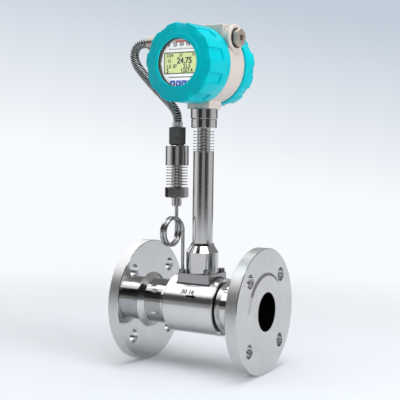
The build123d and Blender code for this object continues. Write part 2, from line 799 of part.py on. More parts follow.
def window_glass():
    """The flat window."""
    back = COVER_DEPTH - LIP_T - GASKET_FRONT_LIP - GLASS_T
    return FRONT_COVER * rod(GLASS_R, back, back + GLASS_T)


def window_gasket():
    """The channel seal that wraps the rim of the glass."""
    front = COVER_DEPTH - LIP_T
    back = front - GASKET_FRONT_LIP - GLASS_T - GASKET_BACK_LIP
    channel = ring(WINDOW_SEAT_R - SEAT_FIT, GASKET_IN_R, back, front)
    channel -= rod(GLASS_R, back + GASKET_BACK_LIP, front - GASKET_FRONT_LIP)
    return FRONT_COVER * channel


def window_ring():
    """The screwed ring that holds the glass, with two notches for a spanner."""
    high = COVER_DEPTH - LIP_T - GASKET_FRONT_LIP - GLASS_T - GASKET_BACK_LIP
    keeper = ring(WINDOW_SEAT_R - SEAT_FIT, RING_IN_R, high - RING_T, high)
    notch = Pos(RING_IN_R, 0, 0) * block(RING_NOTCH * 2, RING_NOTCH, high - RING_T, high - RING_T / 2)
    for cut in polar(2, 0, notch):
        keeper -= cut
    return FRONT_COVER * keeper


def post_places():
    """The four places of the standoffs and dial screws, as (u, v)."""
    return [(POST_U * i, POST_V * j) for i in (-1, 1) for j in (-1, 1)]


def key_places():
    """The middle of each key along the row, from left to right."""
    return [KEY_PITCH * (i - 1.5) for i in range(4)]


def dial_plate():
    """The white plate, with openings for the display and the keys."""
    low = DIAL_W - DIAL_T
    plate = rod(DIAL_R, low, DIAL_W)
    plate -= block(LCD_U + 2 * LCD_FIT, LCD_V + 2 * LCD_FIT, low - 1, DIAL_W + 1)
    for u in key_places():
        window = block(KEY_U + 2 * KEY_CLEAR, KEY_V + 2 * KEY_CLEAR, low - 1, DIAL_W + 1)
        plate -= Pos(u, KEY_ROW_V, 0) * window
    hole = turned([
        (0, low - 1),
        (DIAL_SCREW_R + DIAL_SCREW_FIT, low - 1),
        (DIAL_SCREW_R + DIAL_SCREW_FIT, DIAL_W - DIAL_SCREW_CONE),
        (DIAL_SCREW_HEAD_R + DIAL_SCREW_FIT, DIAL_W),
        (0, DIAL_W),
    ])
    for u, v in post_places():
        plate -= Pos(u, v, 0) * hole
    return HEAD * plate


def dial_screws():
    """Four countersunk screws, flush with the dial."""
    screw = turned([
        (0, DIAL_W - DIAL_SCREW_LEN),
        (DIAL_SCREW_R, DIAL_W - DIAL_SCREW_LEN),
        (DIAL_SCREW_R, DIAL_W - DIAL_SCREW_CONE),
        (DIAL_SCREW_HEAD_R, DIAL_W),
        (0, DIAL_W),
    ])
    screw -= block(DIAL_SCREW_HEAD_R * 2, DIAL_SCREW_R / 2, DIAL_W - DIAL_SCREW_CONE / 2, DIAL_W)
    return [HEAD * Pos(u, v, 0) * screw for u, v in post_places()]


def lcd_panel():
    """The display glass in its opening, held by the display board behind it."""
    front = DIAL_W - LCD_SET_BACK
    board = display_board_front()
    return HEAD * block(LCD_U, LCD_V, board, front)


def display_board_front():
    """The front face of the display board, below the key switches and their travel."""
    key_back = DIAL_W - DIAL_T - KEY_CLEAR - KEY_FLANGE_T
    return key_back - KEY_TRAVEL - KEY_STOP - SWITCH_H


def display_board():
    """The board behind the dial, with screw holes."""
    front = display_board_front()
    board = rod(BOARD_R, front - BOARD_T, front)
    for u, v in post_places():
        board -= Pos(u, v, 0) * rod(DIAL_SCREW_R + DIAL_SCREW_FIT, front - BOARD_T - 1, front + 1)
    return HEAD * board


def key(place):
    """One key: a cap with round corners on a flange that the dial plate keeps in."""
    flange_high = DIAL_W - DIAL_T - KEY_CLEAR
    flange_low = flange_high - KEY_FLANGE_T
    outline = RectangleRounded(KEY_U, KEY_V, KEY_CORNER)
    cap = Pos(0, 0, flange_high) * extrude(outline, DIAL_W + KEY_PROUD - flange_high)
    cap += block(KEY_U + 2 * KEY_FLANGE, KEY_V + 2 * KEY_FLANGE, flange_low, flange_high)
    return HEAD * Pos(place, KEY_ROW_V, 0) * cap


def key_switches():
    """The push switches under the keys."""
    front = display_board_front()
    return [
        HEAD * Pos(u, KEY_ROW_V, 0) * block(SWITCH_SIDE, SWITCH_SIDE, front, front + SWITCH_H)
        for u in key_places()
    ]


def main_board():
    """The board near the wall, with the same screw places."""
    board = rod(BOARD_R, MAIN_BOARD_W, MAIN_BOARD_W + BOARD_T)
    return HEAD * board


def board_standoffs():
    """Three posts in line at each of four places: wall to main board, then to display board, then to dial."""
    display_front = display_board_front()
    display_back = display_front - BOARD_T
    screw_low = DIAL_W - DIAL_SCREW_LEN
    hole_low = screw_low - DIAL_SCREW_FIT
    low_post = rod(POST_R, WALL_FRONT, MAIN_BOARD_W)
    mid_post = rod(POST_R, MAIN_BOARD_W + BOARD_T, display_back)
    mid_post -= rod(DIAL_SCREW_R + DIAL_SCREW_FIT, min(hole_low, display_back), display_back + 1)
    top_post = ring(POST_R, DIAL_SCREW_R + DIAL_SCREW_FIT, display_front, DIAL_W - DIAL_T)
    return [HEAD * Pos(u, v, 0) * post for u, v in post_places() for post in (low_post, mid_post, top_post)]


def terminal_places():
    """The middle of each terminal along its block."""
    return [TERMINAL_PITCH * (i - (TERMINAL_COUNT - 1) / 2) for i in range(TERMINAL_COUNT)]


def terminal_block():
    """The stepped terminal block on the back of the wall, with screw wells and wire mouths."""
    top = WALL_FRONT - WALL_T
    body = block(TERMINAL_U, TERMINAL_V, top - TERMINAL_H, top)
    ledge = Pos(0, -TERMINAL_V / 2, 0) * block(TERMINAL_U, 2 * TERMINAL_LEDGE, top - TERMINAL_H, top - TERMINAL_H / 2)
    body -= ledge
    well = Pos(0, TERMINAL_V / 4, 0) * rod(
        TERMINAL_SCREW_R + TERMINAL_SCREW_FIT, top - TERMINAL_H - 1, top - TERMINAL_H / 2
    )
    for u in terminal_places():
        body -= Pos(u, 0, 0) * well
    return HEAD * body


def terminal_screws():
    """The clamp screws in their wells."""
    top = WALL_FRONT - WALL_T
    low = top - TERMINAL_H + TERMINAL_SCREW_SINK
    screw = rod(TERMINAL_SCREW_R, low, top - TERMINAL_H / 2)
    screw -= block(TERMINAL_SCREW_R * 2, TERMINAL_SCREW_R / 3, low, low + TERMINAL_SCREW_R / 2)
    return [HEAD * Pos(u, TERMINAL_V / 4, 0) * screw for u in terminal_places()]


def earth_screw():
    """The earth screw on the back of the wall."""
    top = WALL_FRONT - WALL_T
    screw = rod(EARTH_HEAD_R, top - EARTH_HEAD_H, top) + rod(EARTH_R, top, top + EARTH_BITE)
    screw -= block(EARTH_HEAD_R * 2, EARTH_R / 2, top - EARTH_HEAD_H, top - EARTH_HEAD_H / 2)
    return HEAD * Pos(EARTH_U, EARTH_V, 0) * screw


def plug_washer():
    """The washer under the blanking plug."""
    washer = ring(PLUG_WASHER_R, PORT_BORE_R, PORT_BOSS_U, PORT_BOSS_U + PLUG_WASHER_T)
    return RIGHT_PORT * washer


def blanking_plug():
    """The hexagon plug with a hexagon socket."""
    low = PORT_BOSS_U + PLUG_WASHER_T
    top = low + PLUG_HEAD_H
    slope = (PLUG_AF / sqrt(3) - PLUG_FACE_R) / 2
    shape = turned([
        (0, low),
        (PLUG_AF / sqrt(3), low),
        (PLUG_AF / sqrt(3), top - slope),
        (PLUG_FACE_R, top),
        (0, top),
    ])
    plug = hex_bar(PLUG_AF, low, top, 30) & shape
    plug += rod(PORT_BORE_R - THREAD_FIT, PORT_BOSS_U - PLUG_BITE, low)
    plug -= hex_bar(PLUG_SOCKET_AF, top - PLUG_SOCKET_DEPTH, top + 1, 30)
    return RIGHT_PORT * plug


def connector_nut():
    """The nut of the conduit connector, on the left boss."""
    nut = hex_nut(CONNECTOR_NUT_AF, PORT_BOSS_U, PORT_BOSS_U + CONNECTOR_NUT_H)
    return LEFT_PORT * (nut - rod(PORT_BORE_R - THREAD_FIT, PORT_BOSS_U - 1, PORT_BOSS_U + CONNECTOR_NUT_H + 1))


def conduit_connector():
    """The turned connector: thread in the port, sleeve and the ring that holds the conduit's end."""
    thread_r = PORT_BORE_R - THREAD_FIT
    nut_top = PORT_BOSS_U + CONNECTOR_NUT_H
    sleeve_top = nut_top + CONNECTOR_LEN
    return LEFT_PORT * turned([
        (WIRE_BORE_R, PORT_BOSS_U - CONNECTOR_BITE),
        (thread_r, PORT_BOSS_U - CONNECTOR_BITE),
        (thread_r, nut_top),
        (CONNECTOR_R, nut_top),
        (CONNECTOR_R, sleeve_top - CELL_EDGE),
        (CONNECTOR_R - CELL_EDGE, sleeve_top),
        (CONNECTOR_END_R, sleeve_top),
        (CONNECTOR_END_R, CONNECTOR_END_U),
        (WIRE_BORE_R, CONNECTOR_END_U),
    ])


def port_point(u):
    """A point on the ports' axis, in the part's own frame."""
    yaw = radians(HEAD_YAW)
    return (STEM_X + u * cos(yaw), -u * sin(yaw), HEAD_Z + PORT_V)


def conduit_route():
    """The conduit's route, from the ferrule up and over to the left port."""
    return [
        (SIDE_X, SIDE_Y, CONDUIT_Z),
        (SIDE_X, SIDE_Y, CONDUIT_Z + CONDUIT_RISE),
        (50.1, 1.3, 260.3),
        (42.7, 1.9, 268.7),
        (30.7, 2.6, 279.2),
        (10.1, 4.2, 296.5),
        (-9.1, 5.8, 314.7),
        (-17.5, 6.6, 324.1),
        (-21.5, 7.0, 333.4),
        (-21.7, 7.4, 342.3),
        (-17.8, 7.7, 349.5),
        (-11.0, 8.0, 353.0),
        port_point(-CONNECTOR_END_U - CONDUIT_LEAD),
        port_point(-CONNECTOR_END_U),
    ]


def conduit_radii(points):
    """The largest arc that the two runs beside each point leave room for."""
    radii = []
    for before, here, after in zip(points, points[1:], points[2:]):
        run_in = Vector(*here) - Vector(*before)
        run_out = Vector(*after) - Vector(*here)
        half_turn = radians(run_in.get_angle(run_out)) / 2
        radii.append(0.45 * min(run_in.length, run_out.length) / tan(half_turn))
    return radii


def flexible_conduit():
    """The free conduit as a plain round tube along straight runs and tangent arcs."""
    points = conduit_route()
    radii = conduit_radii(points)
    path = FilletPolyline(*points, radius=radii)
    start = Vector(*points[0])
    heading = Vector(*points[1]) - start
    tube = sweep(Plane(origin=start, z_dir=heading) * Circle(CONDUIT_R), path=path)
    print("conduit length", round(path.length, 1), "radii", [round(r, 1) for r in radii])
    print("conduit volume over section times length", round(tube.volume / (pi * CONDUIT_R**2 * path.length), 4))
    return tube


def tap_boss():
    """The welded boss that the siphon's foot stands in."""
    low = BODY_R - TAP_BOSS_SINK
    high = BODY_R + TAP_BOSS_RISE
    boss = turned([
        (TAP_HOLE_R, low),
        (TAP_BOSS_R, low),
        (TAP_BOSS_R, high - CELL_EDGE),
        (TAP_BOSS_R - CELL_EDGE, high),
        (SIPHON_R + SIPHON_FIT, high),
        (SIPHON_R + SIPHON_FIT, high - SIPHON_SET_IN),
        (TAP_HOLE_R, high - SIPHON_SET_IN),
    ])
    return Pos(TAP_X, 0, 0) * boss


def siphon_tube():
    """The pigtail: a leg down from the transmitter, two turns of coil, and a leg down to the boss."""
    yaw = radians(COIL_YAW)
    across = Vector(sin(yaw), cos(yaw), 0)
    coil_start = Vector(SIDE_X, SIDE_Y, COIL_Z)
    coil_plane = Plane(origin=coil_start - across * COIL_R, x_dir=across, z_dir=(cos(yaw), -sin(yaw), 0))
    coil = coil_plane * Helix(COIL_PITCH, COIL_SPAN, COIL_R, lefthand=True)
    top = Vector(SIDE_X, SIDE_Y, NIPPLE_BOTTOM + SIPHON_SET_IN)
    foot = Vector(TAP_X, 0, BODY_R + TAP_BOSS_RISE - SIPHON_SET_IN + 2 * SIPHON_FIT)
    route = Wire([Line(top, coil @ 0), coil, Line(coil @ 1, foot)])
    section = Plane(origin=top, z_dir=(0, 0, -1)) * Circle(SIPHON_R)
    return sweep(section, path=route, transition=Transition.TRANSFORMED)


def transmitter_nipple():
    """The short nipple under the transmitter's nut."""
    nipple = turned([
        (TAP_HOLE_R, NIPPLE_BOTTOM),
        (NIPPLE_R - NIPPLE_TAPER, NIPPLE_BOTTOM),
        (NIPPLE_R, NIPPLE_BOTTOM + NIPPLE_TAPER),
        (NIPPLE_R, SIDE_NUT_Z),
        (TAP_HOLE_R, SIDE_NUT_Z),
    ])
    return SIDE * (nipple - rod(SIPHON_R + SIPHON_FIT, NIPPLE_BOTTOM - 1, NIPPLE_BOTTOM + SIPHON_SET_IN))


def transmitter_nut():
    """The big hexagon."""
    nut = hex_nut(SIDE_NUT_AF, SIDE_NUT_Z, SIDE_FINS_Z, SIDE_NUT_TURN)
    return SIDE * (nut - rod(TAP_HOLE_R, SIDE_NUT_Z - 1, SIDE_FINS_Z + 1))


def transmitter_fins():
    """The transmitter's own cooler."""
    bottom = [(TAP_HOLE_R, SIDE_FINS_Z), (SIDE_FIN_CORE_R, SIDE_FINS_Z)]
    return SIDE * finned_cooler(
        bottom, SIDE_FIN_CORE_R, TAP_HOLE_R, SIDE_FIN_R, SIDE_FIN_T,
        SIDE_FIN_LOW, SIDE_FIN_PITCH, SIDE_FIN_COUNT, CELL_Z,
    )


def transmitter_housing():
    """The polished round case of the pressure cell."""
    return SIDE * turned([
        (0, CELL_Z),
        (CELL_R - CELL_EDGE, CELL_Z),
        (CELL_R, CELL_Z + CELL_EDGE),
        (CELL_R, GLAND_Z - CELL_EDGE),
        (CELL_R - CELL_EDGE, GLAND_Z),
        (0, GLAND_Z),
    ])


def gland_body():
    """The lower part of the cable gland: a short neck and a hexagon."""
    low = GLAND_Z + GLAND_NECK_H
    body = hex_nut(GLAND_AF, low, GLAND_CAP_Z, GLAND_TURN) + rod(GLAND_NECK_R, GLAND_Z, low)
    return SIDE * (body - rod(WIRE_BORE_R, GLAND_Z - 1, GLAND_CAP_Z + 1))


def gland_cap():
    """The gland's cap nut."""
    cap = hex_nut(GLAND_AF, GLAND_CAP_Z, FERRULE_Z, GLAND_TURN)
    return SIDE * (cap - rod(WIRE_BORE_R, GLAND_CAP_Z - 1, FERRULE_Z + 1))


def conduit_ferrule():
    """The bright slotted ring that holds the conduit's lower end."""
    lip = CONDUIT_Z - FERRULE_FLARE * 3
    ferrule = turned([
        (WIRE_BORE_R, FERRULE_Z),
        (FERRULE_R - FERRULE_FLARE, FERRULE_Z),
        (FERRULE_R - FERRULE_FLARE, lip),
        (FERRULE_R, CONDUIT_Z - FERRULE_FLARE * 2),
        (FERRULE_R, CONDUIT_Z),
        (WIRE_BORE_R, CONDUIT_Z),
    ])
    slot = Pos(FERRULE_R - FERRULE_FLARE, 0, 0) * block(
        2 * FERRULE_SLOT_DEPTH, FERRULE_SLOT_W, FERRULE_Z + FERRULE_SLOT_W, lip - FERRULE_SLOT_W / 2
    )
    for cut in polar(FERRULE_SLOTS, 0, slot):
        ferrule -= cut
    return SIDE * ferrule


def parts():
    """Every piece by name."""
    key_at = key_places()
    return {
        "inlet_flange": flange(1),
        "outlet_flange": flange(-1),
        "flange_welds": flange_welds(),
        "inlet_pipe": pipe(INLET_BACK - FLANGE_SOCKET, BODY_LOW + BODY_SOCKET),
        "outlet_pipe": pipe(BODY_HIGH - BODY_SOCKET, OUTLET_BACK + FLANGE_SOCKET),
        "meter_body": meter_body(),
        "body_welds": body_welds(),
        "shedder_bar": shedder_bar(),
        "saddle_gasket": saddle_gasket(),
        "sensor_flange": sensor_flange(),
        "flange_screws": flange_screws(),
        "vortex_probe": vortex_probe(),
        "probe_seal": probe_seal(),
        "stem_base": stem_base(),
        "stem_tube": stem_tube(),
        "stem_fins": stem_fins(),
        "lower_collar": collar(LOWER_COLLAR_R, FINS_TOP, COLLAR_MID, COLLAR_MID),
        "upper_collar": collar(UPPER_COLLAR_R, COLLAR_MID, STEM_TOP, STEM_TOP + SPIGOT_H),
        "signal_cable": signal_cable(),
        "head_housing": head_housing(),
        "front_cover": front_cover(),
        "front_seal": FRONT_COVER * cover_seal(),
        "window_glass": window_glass(),
        "window_gasket": window_gasket(),
        "window_ring": window_ring(),
        "rear_cover": rear_cover(),
        "rear_seal": REAR_COVER * cover_seal(),
        "dial_plate": dial_plate(),
        "dial_screws": dial_screws(),
        "lcd_panel": lcd_panel(),
        "key_left": key(key_at[0]),
        "key_down": key(key_at[1]),
        "key_up": key(key_at[2]),
        "key_enter": key(key_at[3]),
        "key_switches": key_switches(),
        "display_board": display_board(),
        "main_board": main_board(),
        "board_standoffs": board_standoffs(),
        "terminal_block": terminal_block(),
        "terminal_screws": terminal_screws(),
        "earth_screw": earth_screw(),
        "blanking_plug": blanking_plug(),
        "plug_washer": plug_washer(),
        "connector_nut": connector_nut(),
        "conduit_connector": conduit_connector(),
        "flexible_conduit": flexible_conduit(),
        "tap_boss": tap_boss(),
        "siphon_tube": siphon_tube(),
        "transmitter_nipple": transmitter_nipple(),
        "transmitter_nut": transmitter_nut(),
        "transmitter_fins": transmitter_fins(),
        "transmitter_housing": transmitter_housing(),
        "gland_body": gland_body(),
        "gland_cap": gland_cap(),
        "conduit_ferrule": conduit_ferrule(),
    }


os.makedirs("parts", exist_ok=True)
for name, shape in parts().items():
    if isinstance(shape, list):
        shape = Compound(children=shape)
    export_step(shape, f"parts/{name}.step")
print("head centre height", round(HEAD_Z, 2), "outlet face", round(OUTLET_FACE, 2), "stem", round(STEM_X, 2))
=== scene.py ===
# %% [markdown]
# This notebook dresses a vortex flow meter: two DN50 flanges on a thick sleeve, a cooled stem, a
# round head with teal screw covers, and a small pressure transmitter on a pigtail siphon.
# The solids come in first. They carry every size, so nothing here is scaled or moved to fit.

import math

import bmesh
import bpy
from mathutils import Matrix, Vector


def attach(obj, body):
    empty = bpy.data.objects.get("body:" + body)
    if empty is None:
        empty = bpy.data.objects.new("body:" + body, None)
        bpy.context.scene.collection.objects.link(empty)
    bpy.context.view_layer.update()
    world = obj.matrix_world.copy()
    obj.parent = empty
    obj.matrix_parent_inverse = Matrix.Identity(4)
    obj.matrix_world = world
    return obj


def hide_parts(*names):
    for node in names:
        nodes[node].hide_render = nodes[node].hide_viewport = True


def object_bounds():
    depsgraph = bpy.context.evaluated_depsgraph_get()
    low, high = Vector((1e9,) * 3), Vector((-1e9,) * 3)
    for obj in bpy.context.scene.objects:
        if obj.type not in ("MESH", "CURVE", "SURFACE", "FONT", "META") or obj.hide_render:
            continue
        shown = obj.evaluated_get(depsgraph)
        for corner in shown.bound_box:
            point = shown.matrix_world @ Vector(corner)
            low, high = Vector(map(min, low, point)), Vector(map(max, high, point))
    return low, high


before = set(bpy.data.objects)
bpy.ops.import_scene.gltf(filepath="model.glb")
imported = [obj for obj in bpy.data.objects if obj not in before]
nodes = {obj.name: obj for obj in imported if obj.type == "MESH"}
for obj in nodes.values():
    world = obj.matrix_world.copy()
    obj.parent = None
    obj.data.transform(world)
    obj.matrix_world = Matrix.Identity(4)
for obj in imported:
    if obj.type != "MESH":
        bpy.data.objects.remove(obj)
cad_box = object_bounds()
MM = 0.001
cad_sides = [round(side / MM, 1) for side in cad_box[1] - cad_box[0]]
print("loaded", len(nodes), "solids, box in mm:", cad_sides)

# %% [markdown]
# The picture was taken from the outlet side, a little above the pipe, with a long lens.
# A camera can be turned by angles, but a matrix made of three directions is easier to check:
# right, up, and backwards, because a camera in Blender looks the other way along its own Z. It is
# rolled a little too, because the photo leans. Places are in metres, and the lens and its sensor
# in millimetres.

# %% Camera
AZIMUTH = 29.98
ELEVATION = 3.452
ROLL = math.radians(0.771)
DISTANCE = 1.2383
TARGET = Vector((0.090854, 0.0, 0.14089))
LENS = 83.19
SENSOR = 36.0


def outward(azimuth, elevation):
    """A direction away from the meter: azimuth 0 faces the dial, and 90 faces the outlet."""
    turn = math.radians(azimuth)
    lift = math.radians(elevation)
    flat = math.cos(lift)
    return Vector((math.sin(turn) * flat, -math.cos(turn) * flat, math.sin(lift)))


def in_scene(name, data):
    """A new object that holds the data, linked into the scene."""
    thing = bpy.data.objects.new(name, data)
    bpy.context.scene.collection.objects.link(thing)
    return thing


back = outward(AZIMUTH, ELEVATION)
level = Vector((0, 0, 1)).cross(back).normalized()
upward = back.cross(level)
right = level * math.cos(ROLL) + upward * math.sin(ROLL)
top = upward * math.cos(ROLL) - level * math.sin(ROLL)
facing = Matrix((right, top, back)).transposed().to_4x4()
camera = in_scene("camera", bpy.data.cameras.new("camera"))
camera.data.lens = LENS
camera.data.sensor_width = SENSOR
camera.matrix_world = Matrix.Translation(TARGET + back * DISTANCE) @ facing
bpy.context.scene.camera = camera
print("camera at", [round(v, 3) for v in camera.matrix_world.translation])

# %% [markdown]
# Colours are written as they look on a screen, but a shader adds light, so it needs linear
# numbers. One function turns a hex colour to linear, and one adds a shader node with its settings
# and links. With those two, each finish below is a few lines that read like a recipe.
# Some nodes have several sockets under one name, so theirs are reached by number. In a Mix node of
# colours 0 is the share, 6 and 7 are the colours that go in, and 2 is the one that comes out. In
# Mix Shader 0 is the share too, and 1 and 2 are the shaders. Math nodes start at 0.

# %% Colour and node helpers


def linear(hex_colour):
    """A hex screen colour as the four linear numbers that a shader takes, by the sRGB curve."""
    channels = [int(hex_colour[i:i + 2], 16) / 255 for i in (1, 3, 5)]
    light = [c / 12.92 if c <= 0.04045 else ((c + 0.055) / 1.055) ** 2.4 for c in channels]
    return (*light, 1.0)


def new_finish(name):
    """An empty material."""
    finish = bpy.data.materials.new(name)
    finish.use_nodes = True
    finish.node_tree.nodes.clear()
    return finish


def add_node(finish, kind, inputs, **settings):
    """One shader node. An input is a value, or a pair: a node, and its output's name or number."""
    node = finish.node_tree.nodes.new(kind)
    for name, value in settings.items():
        setattr(node, name, value)
    for name, value in inputs.items():
        if isinstance(value, tuple) and isinstance(value[0], bpy.types.Node):
            finish.node_tree.links.new(value[0].outputs[value[1]], node.inputs[name])
        else:
            node.inputs[name].default_value = value
    return node


def show(finish, shader, output="BSDF"):
    """The shader becomes the material's surface."""
    add_node(finish, "ShaderNodeOutputMaterial", {"Surface": (shader, output)})
    return finish


print("half grey on a screen is", round(linear("#808080")[0], 3), "in linear light")

# %% [markdown]
# Most of this meter is stainless steel that was turned on a lathe and then polished. The tool
# leaves rings that the eye reads as fine lines round the axis. They follow the distance along the
# axis and the distance from it, so the pattern is a noise on those two numbers, and it is right
# on a tube, on a flange's face and on a cone. An image could not follow all three.
# The lines are drawn about 0.6 mm apart, coarser than real ones, so that they show from a step
# away. The steel's tone drifts a little over patches of about 22 mm, as hand polish does.

# %% Lathe lines
LINE_GAP = 0.6 * MM
POLISH_PATCH = 22.2 * MM
PATCH_TONE = 0.86
FLANGE_RIM = 82.4 * MM
RIM_EDGE = 0.3 * MM
RIM_ROUGHNESS = 0.3


def lathe_lines(finish, place, axis_point, along_x, gap):
    """A noise whose lines run round an axis, and the distance from that axis."""
    centred = add_node(
        finish, "ShaderNodeVectorMath", {0: (place, "Object"), 1: axis_point}, operation="SUBTRACT",
    )
    split = add_node(finish, "ShaderNodeSeparateXYZ", {0: (centred, "Vector")})
    first, second, along = ("Y", "Z", "X") if along_x else ("X", "Y", "Z")
    flat = add_node(finish, "ShaderNodeCombineXYZ", {"X": (split, first), "Y": (split, second)})
    reach = add_node(finish, "ShaderNodeVectorMath", {0: (flat, "Vector")}, operation="LENGTH")
    pair = add_node(finish, "ShaderNodeCombineXYZ", {"X": (split, along), "Y": (reach, "Value")})
    lines = add_node(
        finish, "ShaderNodeTexNoise",
        {"Vector": (pair, "Vector"), "Scale": 1.0 / gap, "Detail": 3.0, "Roughness": 0.6},
    )
    return lines, reach


def turned_steel(
    name, colour, roughness, axis_point, along_x=False, gap=LINE_GAP, depth=0.08, rim=None,
):
    """Stainless steel with lathe lines in its height and roughness, and duller past a rim."""
    finish = new_finish(name)
    place = add_node(finish, "ShaderNodeTexCoord", {})
    lines, reach = lathe_lines(finish, place, axis_point, along_x, gap)
    spread = {"Value": (lines, "Fac"), "To Min": roughness * 0.75, "To Max": roughness * 1.3}
    sheen = (add_node(finish, "ShaderNodeMapRange", spread), "Result")
    if rim:
        past = {"From Min": rim - RIM_EDGE, "From Max": rim, "To Max": RIM_ROUGHNESS}
        dull = add_node(finish, "ShaderNodeMapRange", {"Value": (reach, "Value"), **past})
        both = {0: sheen, 1: (dull, "Result")}
        sheen = (add_node(finish, "ShaderNodeMath", both, operation="ADD"), "Value")
    bump = add_node(
        finish, "ShaderNodeBump",
        {"Height": (lines, "Fac"), "Strength": depth, "Distance": 0.2 * MM},
    )
    cloud = add_node(
        finish, "ShaderNodeTexNoise",
        {"Vector": (place, "Object"), "Scale": 1.0 / POLISH_PATCH, "Detail": 2.0},
    )
    light = linear(colour)
    shade = [channel * PATCH_TONE for channel in light[:3]] + [1.0]
    tone = add_node(
        finish, "ShaderNodeMix", {0: (cloud, "Fac"), 6: light, 7: shade}, data_type="RGBA",
    )
    steel = add_node(
        finish, "ShaderNodeBsdfPrincipled",
        {"Base Color": (tone, 2), "Metallic": 1.0, "Roughness": sheen, "Normal": (bump, "Normal")},
    )
    return show(finish, steel)


print("lathe lines stand", LINE_GAP / MM, "mm apart")

# %% [markdown]
# Each turned piece gets the lines of its own axis: the pipe's, the stem's or the transmitter's.
# How bright it looks is set by two things: the steel's own tone, and how smooth it was polished.

# %% Turned stainless steel
STEM_X = 95.5
PIPE_AXIS = (0.0, 0.0, 0.0)
STEM_AXIS = (STEM_X * MM, 0.0, 0.0)
SIDE_AXIS = (0.05364, 0.00099, 0.0)
PIPE_GAP = 0.9 * MM
FIN_GAP = 0.3 * MM

# Faced and polished: a mirror with faint rings. The rim was only turned, so it is dull.
flange_steel = turned_steel(
    "polished_flange_steel", "#CFCFCF", 0.09, PIPE_AXIS, along_x=True, depth=0.05, rim=FLANGE_RIM,
)
# Pipe that was polished after welding: the sharpest reflections, and hardly a line.
pipe_steel = turned_steel(
    "polished_pipe_steel", "#D2D2D2", 0.08, PIPE_AXIS, along_x=True, gap=PIPE_GAP, depth=0.02,
)
# Brushed on the lathe to a satin: its reflections are soft bands.
sleeve_steel = turned_steel(
    "satin_sleeve_steel", "#DADADA", 0.19, PIPE_AXIS, along_x=True, gap=PIPE_GAP, depth=0.03,
)
# Polished tubes and collars: upright stripes with slightly soft edges.
stem_steel = turned_steel("polished_stem_steel", "#C8C8C8", 0.12, STEM_AXIS, depth=0.05)
side_steel = turned_steel("polished_cell_steel", "#C8C8C8", 0.12, SIDE_AXIS, depth=0.05)
# Fins are left as the narrow tool cut them: close rings and a grey sheen.
fin_steel = turned_steel("turned_fin_steel", "#C2C2C2", 0.26, STEM_AXIS, gap=FIN_GAP)
side_fin_steel = turned_steel("turned_side_fin_steel", "#C2C2C2", 0.26, SIDE_AXIS, gap=FIN_GAP)
print("made seven lathe finishes")

# %% [markdown]
# Blocks, nuts and screws were milled or cold formed, so they have no rings: the light breaks on a
# faint grain. The siphon is drawn tube, and the fittings are plated. One recipe with other
# numbers does for all of these: a metal with a noise in its roughness and a very shallow bump.
# Its grain is drawn about a millimetre wide. Real grain is finer and wouldn't show from here.

# %% Milled, drawn and plated metal


def grained_metal(name, colour, roughness, grain, depth=0.1):
    """A metal with an even fine grain of a given size."""
    finish = new_finish(name)
    place = add_node(finish, "ShaderNodeTexCoord", {})
    noise = add_node(
        finish, "ShaderNodeTexNoise",
        {"Vector": (place, "Object"), "Scale": 1.0 / grain, "Detail": 4.0, "Roughness": 0.6},
    )
    spread = {"Value": (noise, "Fac"), "To Min": roughness * 0.7, "To Max": roughness * 1.35}
    sheen = add_node(finish, "ShaderNodeMapRange", spread)
    bump = add_node(
        finish, "ShaderNodeBump",
        {"Height": (noise, "Fac"), "Strength": depth, "Distance": 0.1 * MM},
    )
    metal = add_node(
        finish, "ShaderNodeBsdfPrincipled",
        {
            "Base Color": linear(colour), "Metallic": 1.0, "Roughness": (sheen, "Result"),
            "Normal": (bump, "Normal"),
        },
    )
    return show(finish, metal)


# Milled flat and left so: an even grey that hardly mirrors.
block_steel = grained_metal("milled_stainless", "#A0A0A0", 0.24, 1.2 * MM)
# Cold formed in a die: each flat shows one clear grey.
nut_steel = grained_metal("formed_nut_steel", "#A8A8A8", 0.17, 2.0 * MM)
# Small tumbled screws: darker than the block they hold.
screw_steel = grained_metal("socket_screw_steel", "#7C7C7C", 0.28, 0.8 * MM)
# Drawn through a die: a long soft shine that follows every bend.
tube_steel = grained_metal("drawn_siphon_tube", "#AEAEAE", 0.2, 1.5 * MM)
# Welds dressed with a wheel: as bright as the pipe, but a little lumpy.
weld_steel = grained_metal("dressed_weld_steel", "#CFCFCF", 0.16, 0.9 * MM, depth=0.3)
# Nickel over brass: a warm grey.
plated_metal = grained_metal("nickel_plated_brass", "#A39C94", 0.28, 1.5 * MM)
# Zinc on pressed steel: light and rather matt.
ferrule_metal = grained_metal("bright_ferrule_steel", "#E2E2E2", 0.38, 1.0 * MM)
# The same nickel gone dull: the warm tone stays and the mirror is gone.
plug_metal = grained_metal("dull_plated_plug", "#D6C9BF", 0.54, 1.0 * MM)
# Turned brass: yellow and fairly bright.
brass = grained_metal("turned_brass", "#C8A468", 0.25, 0.8 * MM)
print("made nine grained metals")

# %% [markdown]
# The conduit's strip is galvanised steel under a black jacket. The finish paints its grooves black,
# which is partly that jacket and partly painted groove shade, and paints its ridges as bright bare
# metal: a painted glint, which also mirrors what stands round it. The hose gets a number at each
# point that says how near the top of a ridge it is, and the finish reads that number, so the dark
# grooves and the bright ridges stay on the hose's own winding.
# A stripe pattern in space would slide off the winding at every bend. Scuffs of about a
# millimetre make the shine uneven.

# %% Conduit strip
SCUFF_SIZE = 1.11 * MM
GLINT_FROM = 0.86

